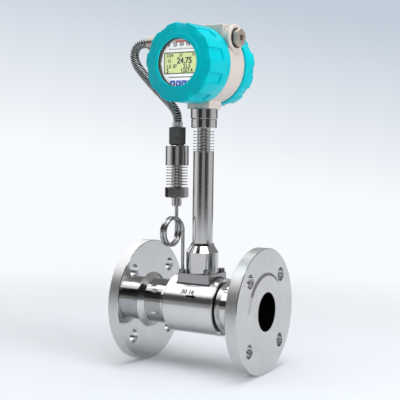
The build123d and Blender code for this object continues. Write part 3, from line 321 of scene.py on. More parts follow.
conduit_steel = new_finish("conduit_strip_painted_glint")
ridge_top = add_node(conduit_steel, "ShaderNodeAttribute", {}, attribute_name="ridge")
# Painted glint: ridge tops get bright bare metal, and grooves get black, which is partly painted
# shade.
ridge_glint = add_node(
    conduit_steel, "ShaderNodeMapRange",
    {"Value": (ridge_top, "Fac"), "From Min": GLINT_FROM, "From Max": 1.0},
)
strip_tone = add_node(
    conduit_steel, "ShaderNodeMix",
    {0: (ridge_glint, "Result"), 6: linear("#070708"), 7: linear("#E4E5E7")}, data_type="RGBA",
)
place = add_node(conduit_steel, "ShaderNodeTexCoord", {})
scuff = add_node(
    conduit_steel, "ShaderNodeTexNoise",
    {"Vector": (place, "Object"), "Scale": 1.0 / SCUFF_SIZE, "Detail": 2.0},
)
strip_sheen = add_node(
    conduit_steel, "ShaderNodeMapRange", {"Value": (scuff, "Fac"), "To Min": 0.3, "To Max": 0.5},
)
strip = add_node(
    conduit_steel, "ShaderNodeBsdfPrincipled",
    {
        "Base Color": (strip_tone, 2), "Metallic": (ridge_glint, "Result"),
        "Roughness": (strip_sheen, "Result"), "Specular IOR Level": 0.2,
    },
)
show(conduit_steel, strip)
print("the conduit's strip is bright on its ridges only")

# %% [markdown]
# The covers and the housing are die-cast aluminium with a sprayed and baked coat. A sprayed coat
# is never quite flat: it has a soft swell of about a millimetre called orange peel. Its colour
# drifts by a shade over a few centimetres. The coat hides the metal, so it isn't metallic here.

# %% Sprayed coats
ORANGE_PEEL = 1.4 * MM
DIAL_PEEL = 0.8 * MM
COLOUR_DRIFT = 33.3 * MM


def sprayed_coat(
    name, colour, deep_colour, roughness, specular, peel=ORANGE_PEEL, depth=0.05,
):
    """Baked paint on a casting: a colour that varies a little, and orange peel."""
    finish = new_finish(name)
    place = add_node(finish, "ShaderNodeTexCoord", {})
    swell = add_node(
        finish, "ShaderNodeTexNoise",
        {"Vector": (place, "Object"), "Scale": 1.0 / peel, "Detail": 2.0},
    )
    drift = add_node(
        finish, "ShaderNodeTexNoise",
        {"Vector": (place, "Object"), "Scale": 1.0 / COLOUR_DRIFT, "Detail": 2.0},
    )
    tone = add_node(
        finish, "ShaderNodeMix",
        {0: (drift, "Fac"), 6: linear(colour), 7: linear(deep_colour)}, data_type="RGBA",
    )
    bump = add_node(
        finish, "ShaderNodeBump",
        {"Height": (swell, "Fac"), "Strength": depth, "Distance": 0.2 * MM},
    )
    paint = add_node(
        finish, "ShaderNodeBsdfPrincipled",
        {
            "Base Color": (tone, 2), "Roughness": roughness, "IOR": 1.5,
            "Normal": (bump, "Normal"), "Specular IOR Level": specular,
        },
    )
    return show(finish, paint)


# Gloss enamel: a deep clean colour with a clear highlight.
teal_coat = sprayed_coat("teal_gloss_coat", "#00CCDA", "#00C3D0", 0.24, 0.12)
# Satin enamel with more texture: a warm light grey without a sharp highlight.
housing_coat = sprayed_coat("warm_grey_satin_coat", "#DED5CE", "#D5CBC3", 0.4, 0.4, depth=0.12)
# A printed white ground on sheet metal: flat and even.
dial_coat = sprayed_coat("white_dial_print", "#F8F9FB", "#F4F6F8", 0.5, 0.3, peel=DIAL_PEEL)
print("made three sprayed coats")

# %% [markdown]
# Seals are nitrile rubber, the gland is moulded polyamide, and the boards are lacquered glass
# fibre. None of them is a mirror, and a fine noise in the bump keeps their highlights broken.
# Their grain is drawn 0.4 to 1.5 mm wide, coarser than it is, so that it shows.

# %% Rubber, plastic and boards


def moulded(name, colour, deep_colour, roughness, grain, depth=0.15, gloss=0.0, specular=0.5):
    """A plastic or rubber skin with an even grain."""
    finish = new_finish(name)
    place = add_node(finish, "ShaderNodeTexCoord", {})
    noise = add_node(
        finish, "ShaderNodeTexNoise",
        {"Vector": (place, "Object"), "Scale": 1.0 / grain, "Detail": 3.0},
    )
    tone = add_node(
        finish, "ShaderNodeMix",
        {0: (noise, "Fac"), 6: linear(colour), 7: linear(deep_colour)}, data_type="RGBA",
    )
    bump = add_node(
        finish, "ShaderNodeBump",
        {"Height": (noise, "Fac"), "Strength": depth, "Distance": 0.1 * MM},
    )
    skin = add_node(
        finish, "ShaderNodeBsdfPrincipled",
        {
            "Base Color": (tone, 2), "Roughness": roughness, "IOR": 1.48,
            "Normal": (bump, "Normal"), "Coat Weight": gloss, "Coat Roughness": 0.08,
            "Specular IOR Level": specular,
        },
    )
    return show(finish, skin)


# Moulded rubber: soft black that takes no highlight.
seal_rubber = moulded("nitrile_seal_rubber", "#141414", "#1E1E1E", 0.6, 0.5 * MM)
cable_sheath = moulded("cable_sheath_rubber", "#1B1B1D", "#262628", 0.5, 0.6 * MM)
# Pressed from flakes: a dark grey with a rough grain.
gasket_sheet = moulded(
    "pressed_graphite_gasket", "#2E2F31", "#3A3B3D", 0.6, 0.4 * MM, depth=0.4,
)
# Moulded in a polished tool: dark grey with a thin gloss.
gland_plastic = moulded("black_gland_polyamide", "#4A4A4A", "#555555", 0.4, 0.8 * MM, gloss=0.2)
# The same plastic in green, from a duller tool.
terminal_plastic = moulded("green_terminal_polyamide", "#1F6B3C", "#195C33", 0.5, 0.8 * MM)
# Glass fibre under green lacquer: the gloss lies on top of the weave.
board_lacquer = moulded("green_board_lacquer", "#12532E", "#0E4526", 0.3, 1.2 * MM, gloss=0.5)
# Small black switches: plain and dull.
switch_plastic = moulded("black_switch_plastic", "#1A1A1A", "#222222", 0.45, 0.5 * MM)
# Moulded caps: a strong blue with a weak shine.
key_plastic = moulded(
    "blue_key_plastic", "#0F5CC4", "#0C53B4", 0.4, 0.8 * MM, gloss=0.15, specular=0.3,
)
# The display's film: flat yellow green, as if lit from behind.
lcd_film = moulded("lcd_yellow_green", "#D5E29A", "#CFDD93", 0.4, 1.5 * MM, depth=0.02)
# A moulded liner round the window: a brown grey that goes dark in the cover's shade.
inner_dark = moulded("dark_inner_skin", "#5C4C48", "#524440", 0.5, 0.8 * MM)
print("made ten rubbers, plastics and boards")

# %% [markdown]
# Printing ink lies on its ground as a thin matt skin, so the recipe for plastic serves for it too.
# The black one must stay black under the lamp on the dial, so its specular level is low.

# %% Printing inks
INK_GRAIN = 0.4 * MM
ink = moulded("black_printing_ink", "#050506", "#0A0B0C", 0.6, INK_GRAIN, specular=0.1)
white_ink = moulded("white_printing_ink", "#F2F5F8", "#E9EDF2", 0.55, INK_GRAIN)
red_ink = moulded("red_printing_ink", "#D81E28", "#C81A24", 0.55, INK_GRAIN, specular=0.2)
# The display's frame is a dark olive segment of the glass, and not a print.
olive_ink = moulded("olive_display_frame", "#343A16", "#2C3112", 0.5, 0.5 * MM, specular=0.2)
print("mixed four inks")

# %% [markdown]
# The window is a flat disc of toughened glass. Light has to pass it to reach the dial, and real
# refraction would need many more samples for the same look, so the glass is a clear coat that
# lets most of the light by. Wiping left smears of a centimetre or two, which vary its gloss.

# %% Window glass
SMEAR_SIZE = 16.7 * MM
GLASS_SHARE = 0.04

glass = new_finish("toughened_window_glass")
place = add_node(glass, "ShaderNodeTexCoord", {})
smear = add_node(
    glass, "ShaderNodeTexNoise",
    {"Vector": (place, "Object"), "Scale": 1.0 / SMEAR_SIZE, "Detail": 1.0},
)
haze = add_node(
    glass, "ShaderNodeMapRange", {"Value": (smear, "Fac"), "To Min": 0.02, "To Max": 0.06},
)
pane = add_node(
    glass, "ShaderNodeBsdfPrincipled",
    {
        "Base Color": linear("#EAF4F4"), "Roughness": (haze, "Result"), "IOR": 1.5,
        "Alpha": GLASS_SHARE,
    },
)
show(glass, pane)
print("the window lets", round(1 - GLASS_SHARE, 2), "of the light through")

# %% [markdown]
# Every solid gets the finish of the real piece. The names on the left are the solids, and the
# finishes are the ones above, so this table is the meter's parts list as a painter would read it.

# %% Finishes on the solids
finishes = {
    "inlet_flange": flange_steel,
    "outlet_flange": flange_steel,
    "inlet_pipe": pipe_steel,
    "outlet_pipe": pipe_steel,
    "meter_body": sleeve_steel,
    "flange_welds": weld_steel,
    "body_welds": weld_steel,
    "shedder_bar": block_steel,
    "saddle_gasket": gasket_sheet,
    "sensor_flange": block_steel,
    "flange_screws": screw_steel,
    "vortex_probe": stem_steel,
    "probe_seal": seal_rubber,
    "stem_base": stem_steel,
    "stem_tube": stem_steel,
    "stem_fins": fin_steel,
    "lower_collar": stem_steel,
    "upper_collar": stem_steel,
    "signal_cable": cable_sheath,
    "head_housing": housing_coat,
    "front_cover": teal_coat,
    "front_seal": seal_rubber,
    "window_glass": glass,
    "window_gasket": inner_dark,
    "window_ring": inner_dark,
    "rear_cover": teal_coat,
    "rear_seal": seal_rubber,
    "dial_plate": dial_coat,
    "dial_screws": screw_steel,
    "lcd_panel": lcd_film,
    "key_left": key_plastic,
    "key_down": key_plastic,
    "key_up": key_plastic,
    "key_enter": key_plastic,
    "key_switches": switch_plastic,
    "display_board": board_lacquer,
    "main_board": board_lacquer,
    "board_standoffs": brass,
    "terminal_block": terminal_plastic,
    "terminal_screws": screw_steel,
    "earth_screw": brass,
    "blanking_plug": plug_metal,
    "plug_washer": seal_rubber,
    "connector_nut": plated_metal,
    "conduit_connector": plated_metal,
    "flexible_conduit": conduit_steel,
    "tap_boss": block_steel,
    "siphon_tube": tube_steel,
    "transmitter_nipple": side_steel,
    "transmitter_nut": nut_steel,
    "transmitter_fins": side_fin_steel,
    "transmitter_housing": side_steel,
    "gland_body": gland_plastic,
    "gland_cap": gland_plastic,
    "conduit_ferrule": ferrule_metal,
}
for name, node in nodes.items():
    node.data.materials.clear()
    node.data.materials.append(finishes[name])
print("finished", len(finishes), "of", len(nodes), "solids")

# %% [markdown]
# The conduit is a steel strip wound into a hose that bends. Its line is a smooth curve that runs
# near a few points, so it has no kinks. A line through every point would need many more of them
# to be as smooth. It leaves the ferrule straight up, swings out to the left in a long slant, and
# comes back to the head's left port in one tight bend.

# %% Conduit line
HEAD_YAW = math.radians(4.7)
HEAD_HEIGHT = 319.06
PORT_RISE = 34.3


def port_point(u):
    """A point on the axis of the head's ports, u millimetres from its middle, in metres."""
    return (
        (STEM_X + u * math.cos(HEAD_YAW)) * MM,
        -u * math.sin(HEAD_YAW) * MM,
        (HEAD_HEIGHT + PORT_RISE) * MM,
    )


def mesh_of(curve):
    """The mesh that a curve or a text makes. The curve itself is taken away again."""
    carrier = in_scene(curve.name, curve)
    bpy.context.view_layer.update()
    made = carrier.evaluated_get(bpy.context.evaluated_depsgraph_get())
    mesh = bpy.data.meshes.new_from_object(made)
    bpy.data.objects.remove(carrier)
    bpy.data.curves.remove(curve)
    return mesh


def smooth_line(points):
    """The places that a smooth curve near the points runs through."""
    curve = bpy.data.curves.new("route", "CURVE")
    curve.dimensions = "3D"
    curve.resolution_u = 24
    spline = curve.splines.new("NURBS")
    spline.points.add(len(points) - 1)
    for control, point in zip(spline.points, points):
        control.co = (*point, 1.0)
    spline.order_u = 3
    spline.use_endpoint_u = True
    mesh = mesh_of(curve)
    line = [vertex.co.copy() for vertex in mesh.vertices]
    bpy.data.meshes.remove(mesh)
    return line


conduit_points = [
    (0.05364, 0.00099, 0.24559),
    (0.05364, 0.00099, 0.25309),
    (0.0501, 0.0013, 0.2603),
    (0.0427, 0.0019, 0.2687),
    (0.0307, 0.0026, 0.2792),
    (0.0101, 0.0042, 0.2965),
    (-0.0091, 0.0058, 0.3147),
    (-0.0175, 0.0066, 0.3241),
    (-0.0215, 0.0070, 0.3334),
    (-0.0217, 0.0074, 0.3423),
    (-0.0178, 0.0077, 0.3495),
    (-0.0110, 0.0080, 0.3530),
    port_point(-99.0),
    port_point(-92.5),
]
conduit_line = smooth_line(conduit_points)

# %% [markdown]
# Every piece made here goes the same way: a form is modelled, becomes an object at the origin,
# gets its finish, and rides on the body that carries it. A piece that stands for a solid says so,
# and that solid is then hidden.

# %% From a form to a piece
SOFT_ANGLE = 40.0


def as_piece(name, form, smooth_angle=SOFT_ANGLE):
    """The modelled form as an object, smooth where its faces meet at a shallow angle."""
    mesh = bpy.data.meshes.new(name)
    form.to_mesh(mesh)
    form.free()
    mesh.shade_smooth()
    mesh.set_sharp_from_angle(angle=math.radians(smooth_angle))
    return in_scene(name, mesh)


def dress(piece, finish, body, *replaced):
    """The piece gets its finish, rides on a body and stands for the solids named."""
    piece.data.materials.clear()
    piece.data.materials.append(finish)
    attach(piece, body)
    if replaced:
        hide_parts(*replaced)


print("pieces count as smooth up to", SOFT_ANGLE, "degrees")

# %% [markdown]
# A hose is built from rings that stand square to its line at even steps. A curve with a bevel
# would sweep a plain tube, but the rings of a wound hose differ, so they are placed one by one.
# Each is turned from the last one by the bend between them and never twisted.

# %% Places along a line


def stations(line, step):
    """Places at even steps along a line, each with a matrix whose Z runs along the line."""
    found = []
    turn = Vector((0, 0, 1)).rotation_difference(line[1] - line[0])
    travelled = 0.0
    wanted = 0.0
    for start, end in zip(line, line[1:]):
        run = end - start
        turn = (turn @ Vector((0, 0, 1))).rotation_difference(run) @ turn
        while wanted <= travelled + run.length:
            place = start + run.normalized() * (wanted - travelled)
            found.append((wanted, Matrix.Translation(place) @ turn.to_matrix().to_4x4()))
            wanted += step
        travelled += run.length
    found.append((travelled, Matrix.Translation(line[-1]) @ turn.to_matrix().to_4x4()))
    return found


print("at every 10 mm the conduit has", len(stations(conduit_line, 10 * MM)), "places")

# %% [markdown]
# The strip is wound, so its ridges climb round the hose like a screw. It could be swept as a
# spiral band, but the band's edges would cross in the tight bend. Here each ring is a circle
# whose points dip where the groove passes, and the next ring's groove is a little further round.

# %% Wound hose
CONDUIT_RADIUS = 6.3 * MM
RIDGE_PITCH = 2.8 * MM
RIDGE_HEIGHT = 1.0 * MM
RING_SIDES = 28
RINGS_A_TURN = 8


def wound_hose(name, line):
    """A hose whose ridges climb round it like a screw. Each point keeps its ridge's height."""
    form = bmesh.new()
    height = form.verts.layers.float.new("ridge")
    loops = []
    for travelled, matrix in stations(line, RIDGE_PITCH / RINGS_A_TURN):
        ring = bmesh.ops.create_circle(form, segments=RING_SIDES, radius=CONDUIT_RADIUS)["verts"]
        for vert in ring:
            angle = math.atan2(vert.co.y, vert.co.x)
            wave = math.cos(2 * math.pi * travelled / RIDGE_PITCH - angle)
            # Squared, so that the ridges are broad and the grooves narrow.
            depth = (0.5 - 0.5 * wave) ** 2
            vert.co *= 1.0 - RIDGE_HEIGHT / CONDUIT_RADIUS * depth
            vert[height] = 1.0 - depth
        bmesh.ops.transform(form, matrix=matrix, verts=ring)
        loops.append(list({edge for vert in ring for edge in vert.link_edges}))
    for low, high in zip(loops, loops[1:]):
        bmesh.ops.bridge_loops(form, edges=low + high)
    for loop in (loops[0], loops[-1]):
        bmesh.ops.edgeloop_fill(form, edges=loop)
    bmesh.ops.recalc_face_normals(form, faces=form.faces)
    return as_piece(name, form)


conduit = wound_hose("conduit_hose", conduit_line)
dress(conduit, conduit_steel, "meter", "flexible_conduit")
print("conduit hose has", len(conduit.data.polygons), "faces")

# %% [markdown]
# A sprayed casting has no knife edges: the paint rounds them, and each rounded edge catches a
# thin line of light. The covers' solids have sharp edges, so each gets a copy whose sharp edges
# are cut back a little. A solid's mesh is loose triangles, so the copy is merged into one skin
# first, and flat neighbours become one face. Otherwise the bevel would also cut flat seams.

# %% Covers with soft edges
EDGE_ROUND = 0.55 * MM
MERGE = 0.002 * MM
FLAT_ANGLE = math.radians(1)
SHARP_ANGLE = math.radians(17)
PAINT_ANGLE = 32.0


def painted_copy(source, body):
    """A copy of a solid with its sharp edges rounded, which stands for the solid."""
    form = bmesh.new()
    form.from_mesh(nodes[source].data)
    bmesh.ops.remove_doubles(form, verts=form.verts, dist=MERGE)
    bmesh.ops.dissolve_limit(form, angle_limit=FLAT_ANGLE, verts=form.verts, edges=form.edges)
    sharp = [
        edge for edge in form.edges if edge.is_manifold and edge.calc_face_angle() > SHARP_ANGLE
    ]
    bmesh.ops.bevel(
        form, geom=sharp, offset=EDGE_ROUND, offset_type="OFFSET", segments=2, profile=0.5,
        affect="EDGES", clamp_overlap=True, material=-1,
    )
    piece = as_piece(f"{source}_painted", form, PAINT_ANGLE)
    dress(piece, teal_coat, body, source)
    print(source, "has", len(piece.data.polygons), "faces with soft edges")


painted_copy("front_cover", "front_cover_group")
painted_copy("rear_cover", "rear_cover_group")

# %% [markdown]
# The dial's print is thin ink. Drawing it as an image would need a picture file, so each figure
# is real geometry a few hundredths of a millimetre thick. It is laid out flat in millimetres, u
# to the right and v upwards from the dial's middle, and one matrix then puts it on the head.

# %% Head frame and flat ink
HEAD = (
    Matrix.Translation((STEM_X * MM, 0.0, HEAD_HEIGHT * MM))
    @ Matrix.Rotation(-HEAD_YAW, 4, "Z")
    @ Matrix.Rotation(math.radians(90), 4, "X")
)
INK = 0.04


def ink_shapes(outlines):
    """Thin flat shapes on the plane of zero height. An outline is convex, a list of (u, v)."""
    form = bmesh.new()
    for outline in outlines:
        verts = [form.verts.new((u * MM, v * MM, INK * MM)) for u, v in outline]
        bmesh.ops.contextual_create(form, geom=verts)
    down = bmesh.ops.extrude_face_region(form, geom=list(form.faces))
    low = [item for item in down["geom"] if isinstance(item, bmesh.types.BMVert)]
    bmesh.ops.translate(form, verts=low, vec=(0, 0, -INK * MM))
    bmesh.ops.recalc_face_normals(form, faces=form.faces)
    return form


def flat_ink(name, outlines, face, finish, body="meter"):
    """Flat printed shapes on the face that lies this far in front of the head's middle."""
    form = ink_shapes(outlines)
    bmesh.ops.transform(form, matrix=HEAD @ Matrix.Translation((0, 0, face * MM)), verts=form.verts)
    dress(as_piece(name, form), finish, body)


def bar(u_low, u_high, v_low, v_high):
    """A rectangle as an outline."""
    return [(u_low, v_low), (u_high, v_low), (u_high, v_high), (u_low, v_high)]


print("ink is", INK, "mm thick")

# %% [markdown]
# A dark frame runs round the display, just inside the edge of its glass. It is four bars that
# meet at the corners, because a flat outline with a hole in it is hard to fill well.

# %% Display frame
LCD_FACE = 52.8
LCD_HALF_U = 27.8
LCD_HALF_V = 13.9
FRAME = 1.3
inner_u = LCD_HALF_U - FRAME
inner_v = LCD_HALF_V - FRAME
frame_bars = [
    bar(-LCD_HALF_U, LCD_HALF_U, inner_v, LCD_HALF_V),
    bar(-LCD_HALF_U, LCD_HALF_U, -LCD_HALF_V, -inner_v),
    bar(-LCD_HALF_U, -inner_u, -inner_v, inner_v),
    bar(inner_u, LCD_HALF_U, -inner_v, inner_v),
]
flat_ink("display_rim", frame_bars, LCD_FACE, olive_ink)
print("framed the display,", 2 * LCD_HALF_U, "by", 2 * LCD_HALF_V, "mm")

# %% [markdown]
# Above the display the dial carries a plain scale with a red limit band over it, and a dotted
# line runs below the display. Each is a row of bars at even steps. Every fifth tick is long.

# %% Dial scale, limit band and dotted line
DIAL_FACE = 53.0
SCALE_HALF = 20.0
SCALE_FOOT = 17.2
SCALE_LINE = 0.6
TICKS = 21
TICK_STEP = 2.0
TICK_HALF = 0.25
LONG_TICK = 2.8
SHORT_TICK = 1.6
BAND_HALF = 10.0
BAND_LOW = 26.6
BAND_HIGH = 28.6
DOTS = 25
DOT_STEP = 1.6
DOT_WIDTH = 1.2
DOT_LOW = -18.9
DOT_HIGH = -17.2

tick_foot = SCALE_FOOT + SCALE_LINE
ticks = [bar(-SCALE_HALF, SCALE_HALF, SCALE_FOOT, tick_foot)]
for i in range(TICKS):
    middle = TICK_STEP * i - SCALE_HALF
    tall = LONG_TICK if i % 5 == 0 else SHORT_TICK
    ticks.append(bar(middle - TICK_HALF, middle + TICK_HALF, tick_foot, tick_foot + tall))
flat_ink("dial_scale", ticks, DIAL_FACE, ink)
flat_ink("dial_limit_band", [bar(-BAND_HALF, BAND_HALF, BAND_LOW, BAND_HIGH)], DIAL_FACE, red_ink)
dots = []
for i in range(DOTS):
    start = DOT_STEP * i - SCALE_HALF
    dots.append(bar(start, start + DOT_WIDTH, DOT_LOW, DOT_HIGH))
flat_ink("dial_dotted_line", dots, DIAL_FACE, ink)
print("printed a scale of", TICKS, "ticks and a line of", DOTS, "dots")

# %% [markdown]
# Figures come from Blender's own font, because strokes built by hand look like a stencil. They
# are drawn with a millimetre as one unit, and the mesh is then brought to size. The boldness
# widens the strokes: too bold, and the outline of a 6 or a 9 crosses itself and fills badly.

# %% Figures on the scale
SIZE_TO_HEIGHT = 1.4
SCALE_FIGURES = ["0", "25", "50", "75", "100"]
SCALE_FIGURE_V = 23.6
SCALE_FIGURE_STEP = 10.0
SCALE_FIGURE_HEIGHT = 4.8
SCALE_FIGURE_BOLD = 0.28


def text_mesh(words, height, bold):
    """A line of figures as a flat mesh, centred on the origin, with its height in millimetres."""
    text = bpy.data.curves.new("figures", "FONT")
    text.body = words
    text.size = height * SIZE_TO_HEIGHT
    text.align_x = "CENTER"
    text.align_y = "CENTER"
    text.extrude = INK / 2
    text.offset = bold
    mesh = mesh_of(text)
    mesh.transform(Matrix.Scale(MM, 4))
    return mesh


def print_figures(name, words, u, v, face, height, bold):
    """Black figures on a face of the head, with their middle at (u, v) in millimetres."""
    mesh = text_mesh(words, height, bold)
    mesh.transform(HEAD @ Matrix.Translation((u * MM, v * MM, (face + INK / 2) * MM)))
    dress(in_scene(name, mesh), ink, "meter")


for i, figure in enumerate(SCALE_FIGURES):
    print_figures(
        f"scale_figure_{i}", figure, SCALE_FIGURE_STEP * i - SCALE_HALF, SCALE_FIGURE_V,
        DIAL_FACE, SCALE_FIGURE_HEIGHT, SCALE_FIGURE_BOLD,
    )
print("set", len(SCALE_FIGURES), "figures on the scale")

# %% [markdown]
# The display's figures use the same recipe: a big reading in the middle row, with smaller ones
# round it. Each row of the list is a number, where its middle is, how tall it is and how bold.

# %% Figures on the display
readings = [
    ("1234", -18.6, 9.6, 3.8, 0.2),
    ("57", -1.0, 9.6, 3.8, 0.2),
    ("71", 19.0, 9.6, 3.8, 0.2),
    ("12", -19.5, 2.6, 4.2, 0.22),
    ("24.75", 4.5, 2.6, 7.6, 0.38),
    ("1.5", -20.5, -4.3, 4.5, 0.24),
    ("37", -10.5, -4.3, 4.5, 0.24),
    ("21.5", 8.5, -4.3, 4.7, 0.24),
    ("5", -22.0, -10.0, 4.9, 0.25),
    ("1257.4", 8.0, -10.0, 5.0, 0.25),
]
for i, (number, u, v, height, bold) in enumerate(readings):
    print_figures(f"display_figure_{i}", number, u, v, LCD_FACE, height, bold)
print("the display shows", len(readings), "numbers")

# %% [markdown]
# The four keys are marked left, down, up and enter in white. A mark is a triangle, and the enter
# arrow has two bars more. A glyph of a font would be quicker, but few fonts have these arrows.
# Each mark rides on its own key, so it sinks with the key.

# %% Key marks
KEY_FACE = 53.5
KEY_ROW = -26.5
KEY_PITCH = 9.1
TIP = 1.9
TAIL = 1.5
key_marks = {
    "left_key": [[(TAIL, -TIP), (TAIL, TIP), (-TIP, 0.0)]],
    "down_key": [[(-TIP, TAIL), (0.0, -TIP), (TIP, TAIL)]],
    "up_key": [[(-TIP, -TAIL), (TIP, -TAIL), (0.0, TIP)]],
    "enter_key": [
        bar(0.9, 1.6, -0.9, 1.9),
        bar(-0.6, 0.9, -0.9, -0.2),
        [(-0.6, -2.0), (-0.6, 0.9), (-2.1, -0.55)],
    ],
}
middle_key = (len(key_marks) - 1) / 2
for i, (body, marks) in enumerate(key_marks.items()):
    centre = KEY_PITCH * (i - middle_key)
    outlines = [[(u + centre, v + KEY_ROW) for u, v in outline] for outline in marks]
    flat_ink(f"{body}_mark", outlines, KEY_FACE, white_ink, body)
print("marked", len(key_marks), "keys")

# %% [markdown]
# An arrow on the sleeve shows which way the flow goes, and two plain size numbers stand above it.
# They are printed on a round surface. Flat shapes would dip under the round sleeve between their
# corners, so they are cut across at every millimetre, and each point is then wrapped to the
# cylinder at the same distance along it.

# %% Print on the sleeve
SLEEVE_RADIUS = 38.6
ARROW_ANGLE = math.radians(65.3)
ARROW_X = 91.9
ARROW_LENGTH = 15.0
POINT_HALF = 2.9
SHAFT_LENGTH = 9.0
SHAFT_HALF = 1.4
SIZE_ANGLE = math.radians(56.5)
SIZE_X = 92.5
SIZE_HEIGHT = 6.0
SIZE_BOLD = 0.26
PRINT_REACH = 4


def wrap_on_sleeve(form, turn, along):
    """Bends flat shapes round the sleeve, to an angle from its top and a distance along it."""
    for cut in range(-PRINT_REACH, PRINT_REACH + 1):
        everything = [*form.verts, *form.edges, *form.faces]
        bmesh.ops.bisect_plane(
            form, geom=everything, plane_co=(0, cut * MM, 0), plane_no=(0, 1, 0),
        )
    for vert in form.verts:
        angle = turn - vert.co.y / (SLEEVE_RADIUS * MM)
        height = SLEEVE_RADIUS * MM + vert.co.z
        vert.co = (along * MM + vert.co.x, -height * math.sin(angle), height * math.cos(angle))


shaft = bar(0.0, SHAFT_LENGTH, -SHAFT_HALF, SHAFT_HALF)
arrow_point = [(SHAFT_LENGTH, -POINT_HALF), (ARROW_LENGTH, 0.0), (SHAFT_LENGTH, POINT_HALF)]
form = ink_shapes([shaft, arrow_point])
wrap_on_sleeve(form, ARROW_ANGLE, ARROW_X)
dress(as_piece("flow_arrow", form), ink, "meter")
print("wrapped the flow arrow", round(math.degrees(ARROW_ANGLE), 1), "degrees from the top")

mesh = text_mesh("50 16", SIZE_HEIGHT, SIZE_BOLD)
form = bmesh.new()
form.from_mesh(mesh)
bmesh.ops.translate(form, verts=form.verts, vec=(0, 0, INK * MM))
wrap_on_sleeve(form, SIZE_ANGLE, SIZE_X)
form.to_mesh(mesh)
form.free()
dress(in_scene("size_figures", mesh), ink, "meter")
print("wrapped the size figures", round(math.degrees(SIZE_ANGLE), 1), "degrees from the top")

# %% [markdown]
# The set is a pale floor under a pale sky, and the floor fades into it far from the meter, so no
# edge shows. Paper that curves up behind the meter would hide its edge too, but only from one
# side. So the floor itself is a plain disc, and the fading is left to its finish.

# %% Floor disc
FLOOR_HEIGHT = -82.6 * MM
FLOOR_MIDDLE = 0.1
FLOOR_RADIUS = 4.0

form = bmesh.new()
bmesh.ops.create_circle(form, cap_ends=True, segments=96, radius=FLOOR_RADIUS)
bmesh.ops.translate(form, verts=form.verts, vec=(FLOOR_MIDDLE, 0.0, FLOOR_HEIGHT))
floor = as_piece("studio_floor", form)
print("floor at", FLOOR_HEIGHT / MM, "mm, with a radius of", FLOOR_RADIUS, "m")

# %% [markdown]
# The floor is matt paper. A small share of what the camera sees of it is a pale colour of its
# own, which lifts the tone a little. The rest is the light that falls on it, so the meter's
# shadow stays. It has no underside, so a look from below shows the meter and not the paper's back.

# %% Floor paper
FADE_FROM = 0.2
FADE_TO = 1.0
OWN_TONE = 0.1
FIBRE_CLOUD = 125 * MM


def looked_at(finish):
    """The light path, and a node that is 1 for what the camera or a mirror looks at."""
    ray = add_node(finish, "ShaderNodeLightPath", {})
    kinds = {0: (ray, "Is Camera Ray"), 1: (ray, "Is Glossy Ray")}
    return ray, add_node(finish, "ShaderNodeMath", kinds, operation="MAXIMUM")


paper = new_finish("pale_paper_floor")
place = add_node(paper, "ShaderNodeTexCoord", {})
flat_place = add_node(
    paper, "ShaderNodeVectorMath", {0: (place, "Object"), 1: (1.0, 1.0, 0.0)},
    operation="MULTIPLY",
)
far = add_node(paper, "ShaderNodeVectorMath", {0: (flat_place, "Vector")}, operation="LENGTH")
fade = add_node(
    paper, "ShaderNodeMapRange",
    {"Value": (far, "Value"), "From Min": FADE_FROM, "From Max": FADE_TO},
    interpolation_type="SMOOTHSTEP",
)
fibre = add_node(
    paper, "ShaderNodeTexNoise",
    {"Vector": (place, "Object"), "Scale": 1.0 / FIBRE_CLOUD, "Detail": 2.0},
)
shade = add_node(
    paper, "ShaderNodeMix",
    {0: (fibre, "Fac"), 6: linear("#F4F9FF"), 7: linear("#EEF4FA")}, data_type="RGBA",
)
sheet = add_node(paper, "ShaderNodeBsdfPrincipled", {"Base Color": (shade, 2), "Roughness": 0.8})
glow = add_node(paper, "ShaderNodeEmission", {"Color": linear("#F3F6FC"), "Strength": 1.0})
ray, direct = looked_at(paper)
share = add_node(
    paper, "ShaderNodeMath", {0: (direct, "Value"), 1: OWN_TONE}, operation="MULTIPLY",
)
lit = add_node(
    paper, "ShaderNodeMixShader",
    {0: (share, "Value"), 1: (sheet, "BSDF"), 2: (glow, "Emission")},
)
face_side = add_node(paper, "ShaderNodeNewGeometry", {})
gone = add_node(
    paper, "ShaderNodeMath", {0: (fade, "Result"), 1: (face_side, "Backfacing")},
    operation="MAXIMUM",
)
clear = add_node(paper, "ShaderNodeBsdfTransparent", {})
faded = add_node(
    paper, "ShaderNodeMixShader", {0: (gone, "Value"), 1: (lit, "Shader"), 2: (clear, "BSDF")},
)
show(paper, faded, "Shader")
floor.data.materials.append(paper)
print("the floor fades from", FADE_FROM, "m and is gone at", FADE_TO, "m")

# %% [markdown]
# The sky is white by the floor and turns to a pale blue grey higher up, a little darker to one
# side. Only what looks at it sees that picture: the camera, mirrors and the window. On everything
# else it casts an even weak light, so the background's tone and the meter's light can be set
# apart from each other.

# %% World
SKY_LEAN = (0.134, 0.077, 1.0)
SKY_LOW = -0.03
SKY_HIGH = 0.16
AMBIENT = 0.32

world = bpy.data.worlds.new("studio")
bpy.context.scene.world = world
world.use_nodes = True
world.node_tree.nodes.clear()
direction = add_node(world, "ShaderNodeTexCoord", {})
rise = add_node(
    world, "ShaderNodeVectorMath", {0: (direction, "Generated"), 1: SKY_LEAN},
    operation="DOT_PRODUCT",
)
sky_height = add_node(
    world, "ShaderNodeMapRange",
    {"Value": (rise, "Value"), "From Min": SKY_LOW, "From Max": SKY_HIGH},
)
backdrop = add_node(
    world, "ShaderNodeMix",
    {0: (sky_height, "Result"), 6: linear("#F8FAFE"), 7: linear("#C3CEDA")}, data_type="RGBA",
)
seen = add_node(world, "ShaderNodeBackground", {"Color": (backdrop, 2), "Strength": 1.0})
ambient = add_node(
    world, "ShaderNodeBackground", {"Color": linear("#FAFAFA"), "Strength": AMBIENT},
)
ray, direct = looked_at(world)
shown = add_node(
    world, "ShaderNodeMath", {0: (direct, "Value"), 1: (ray, "Is Transmission Ray")},
    operation="MAXIMUM",
)
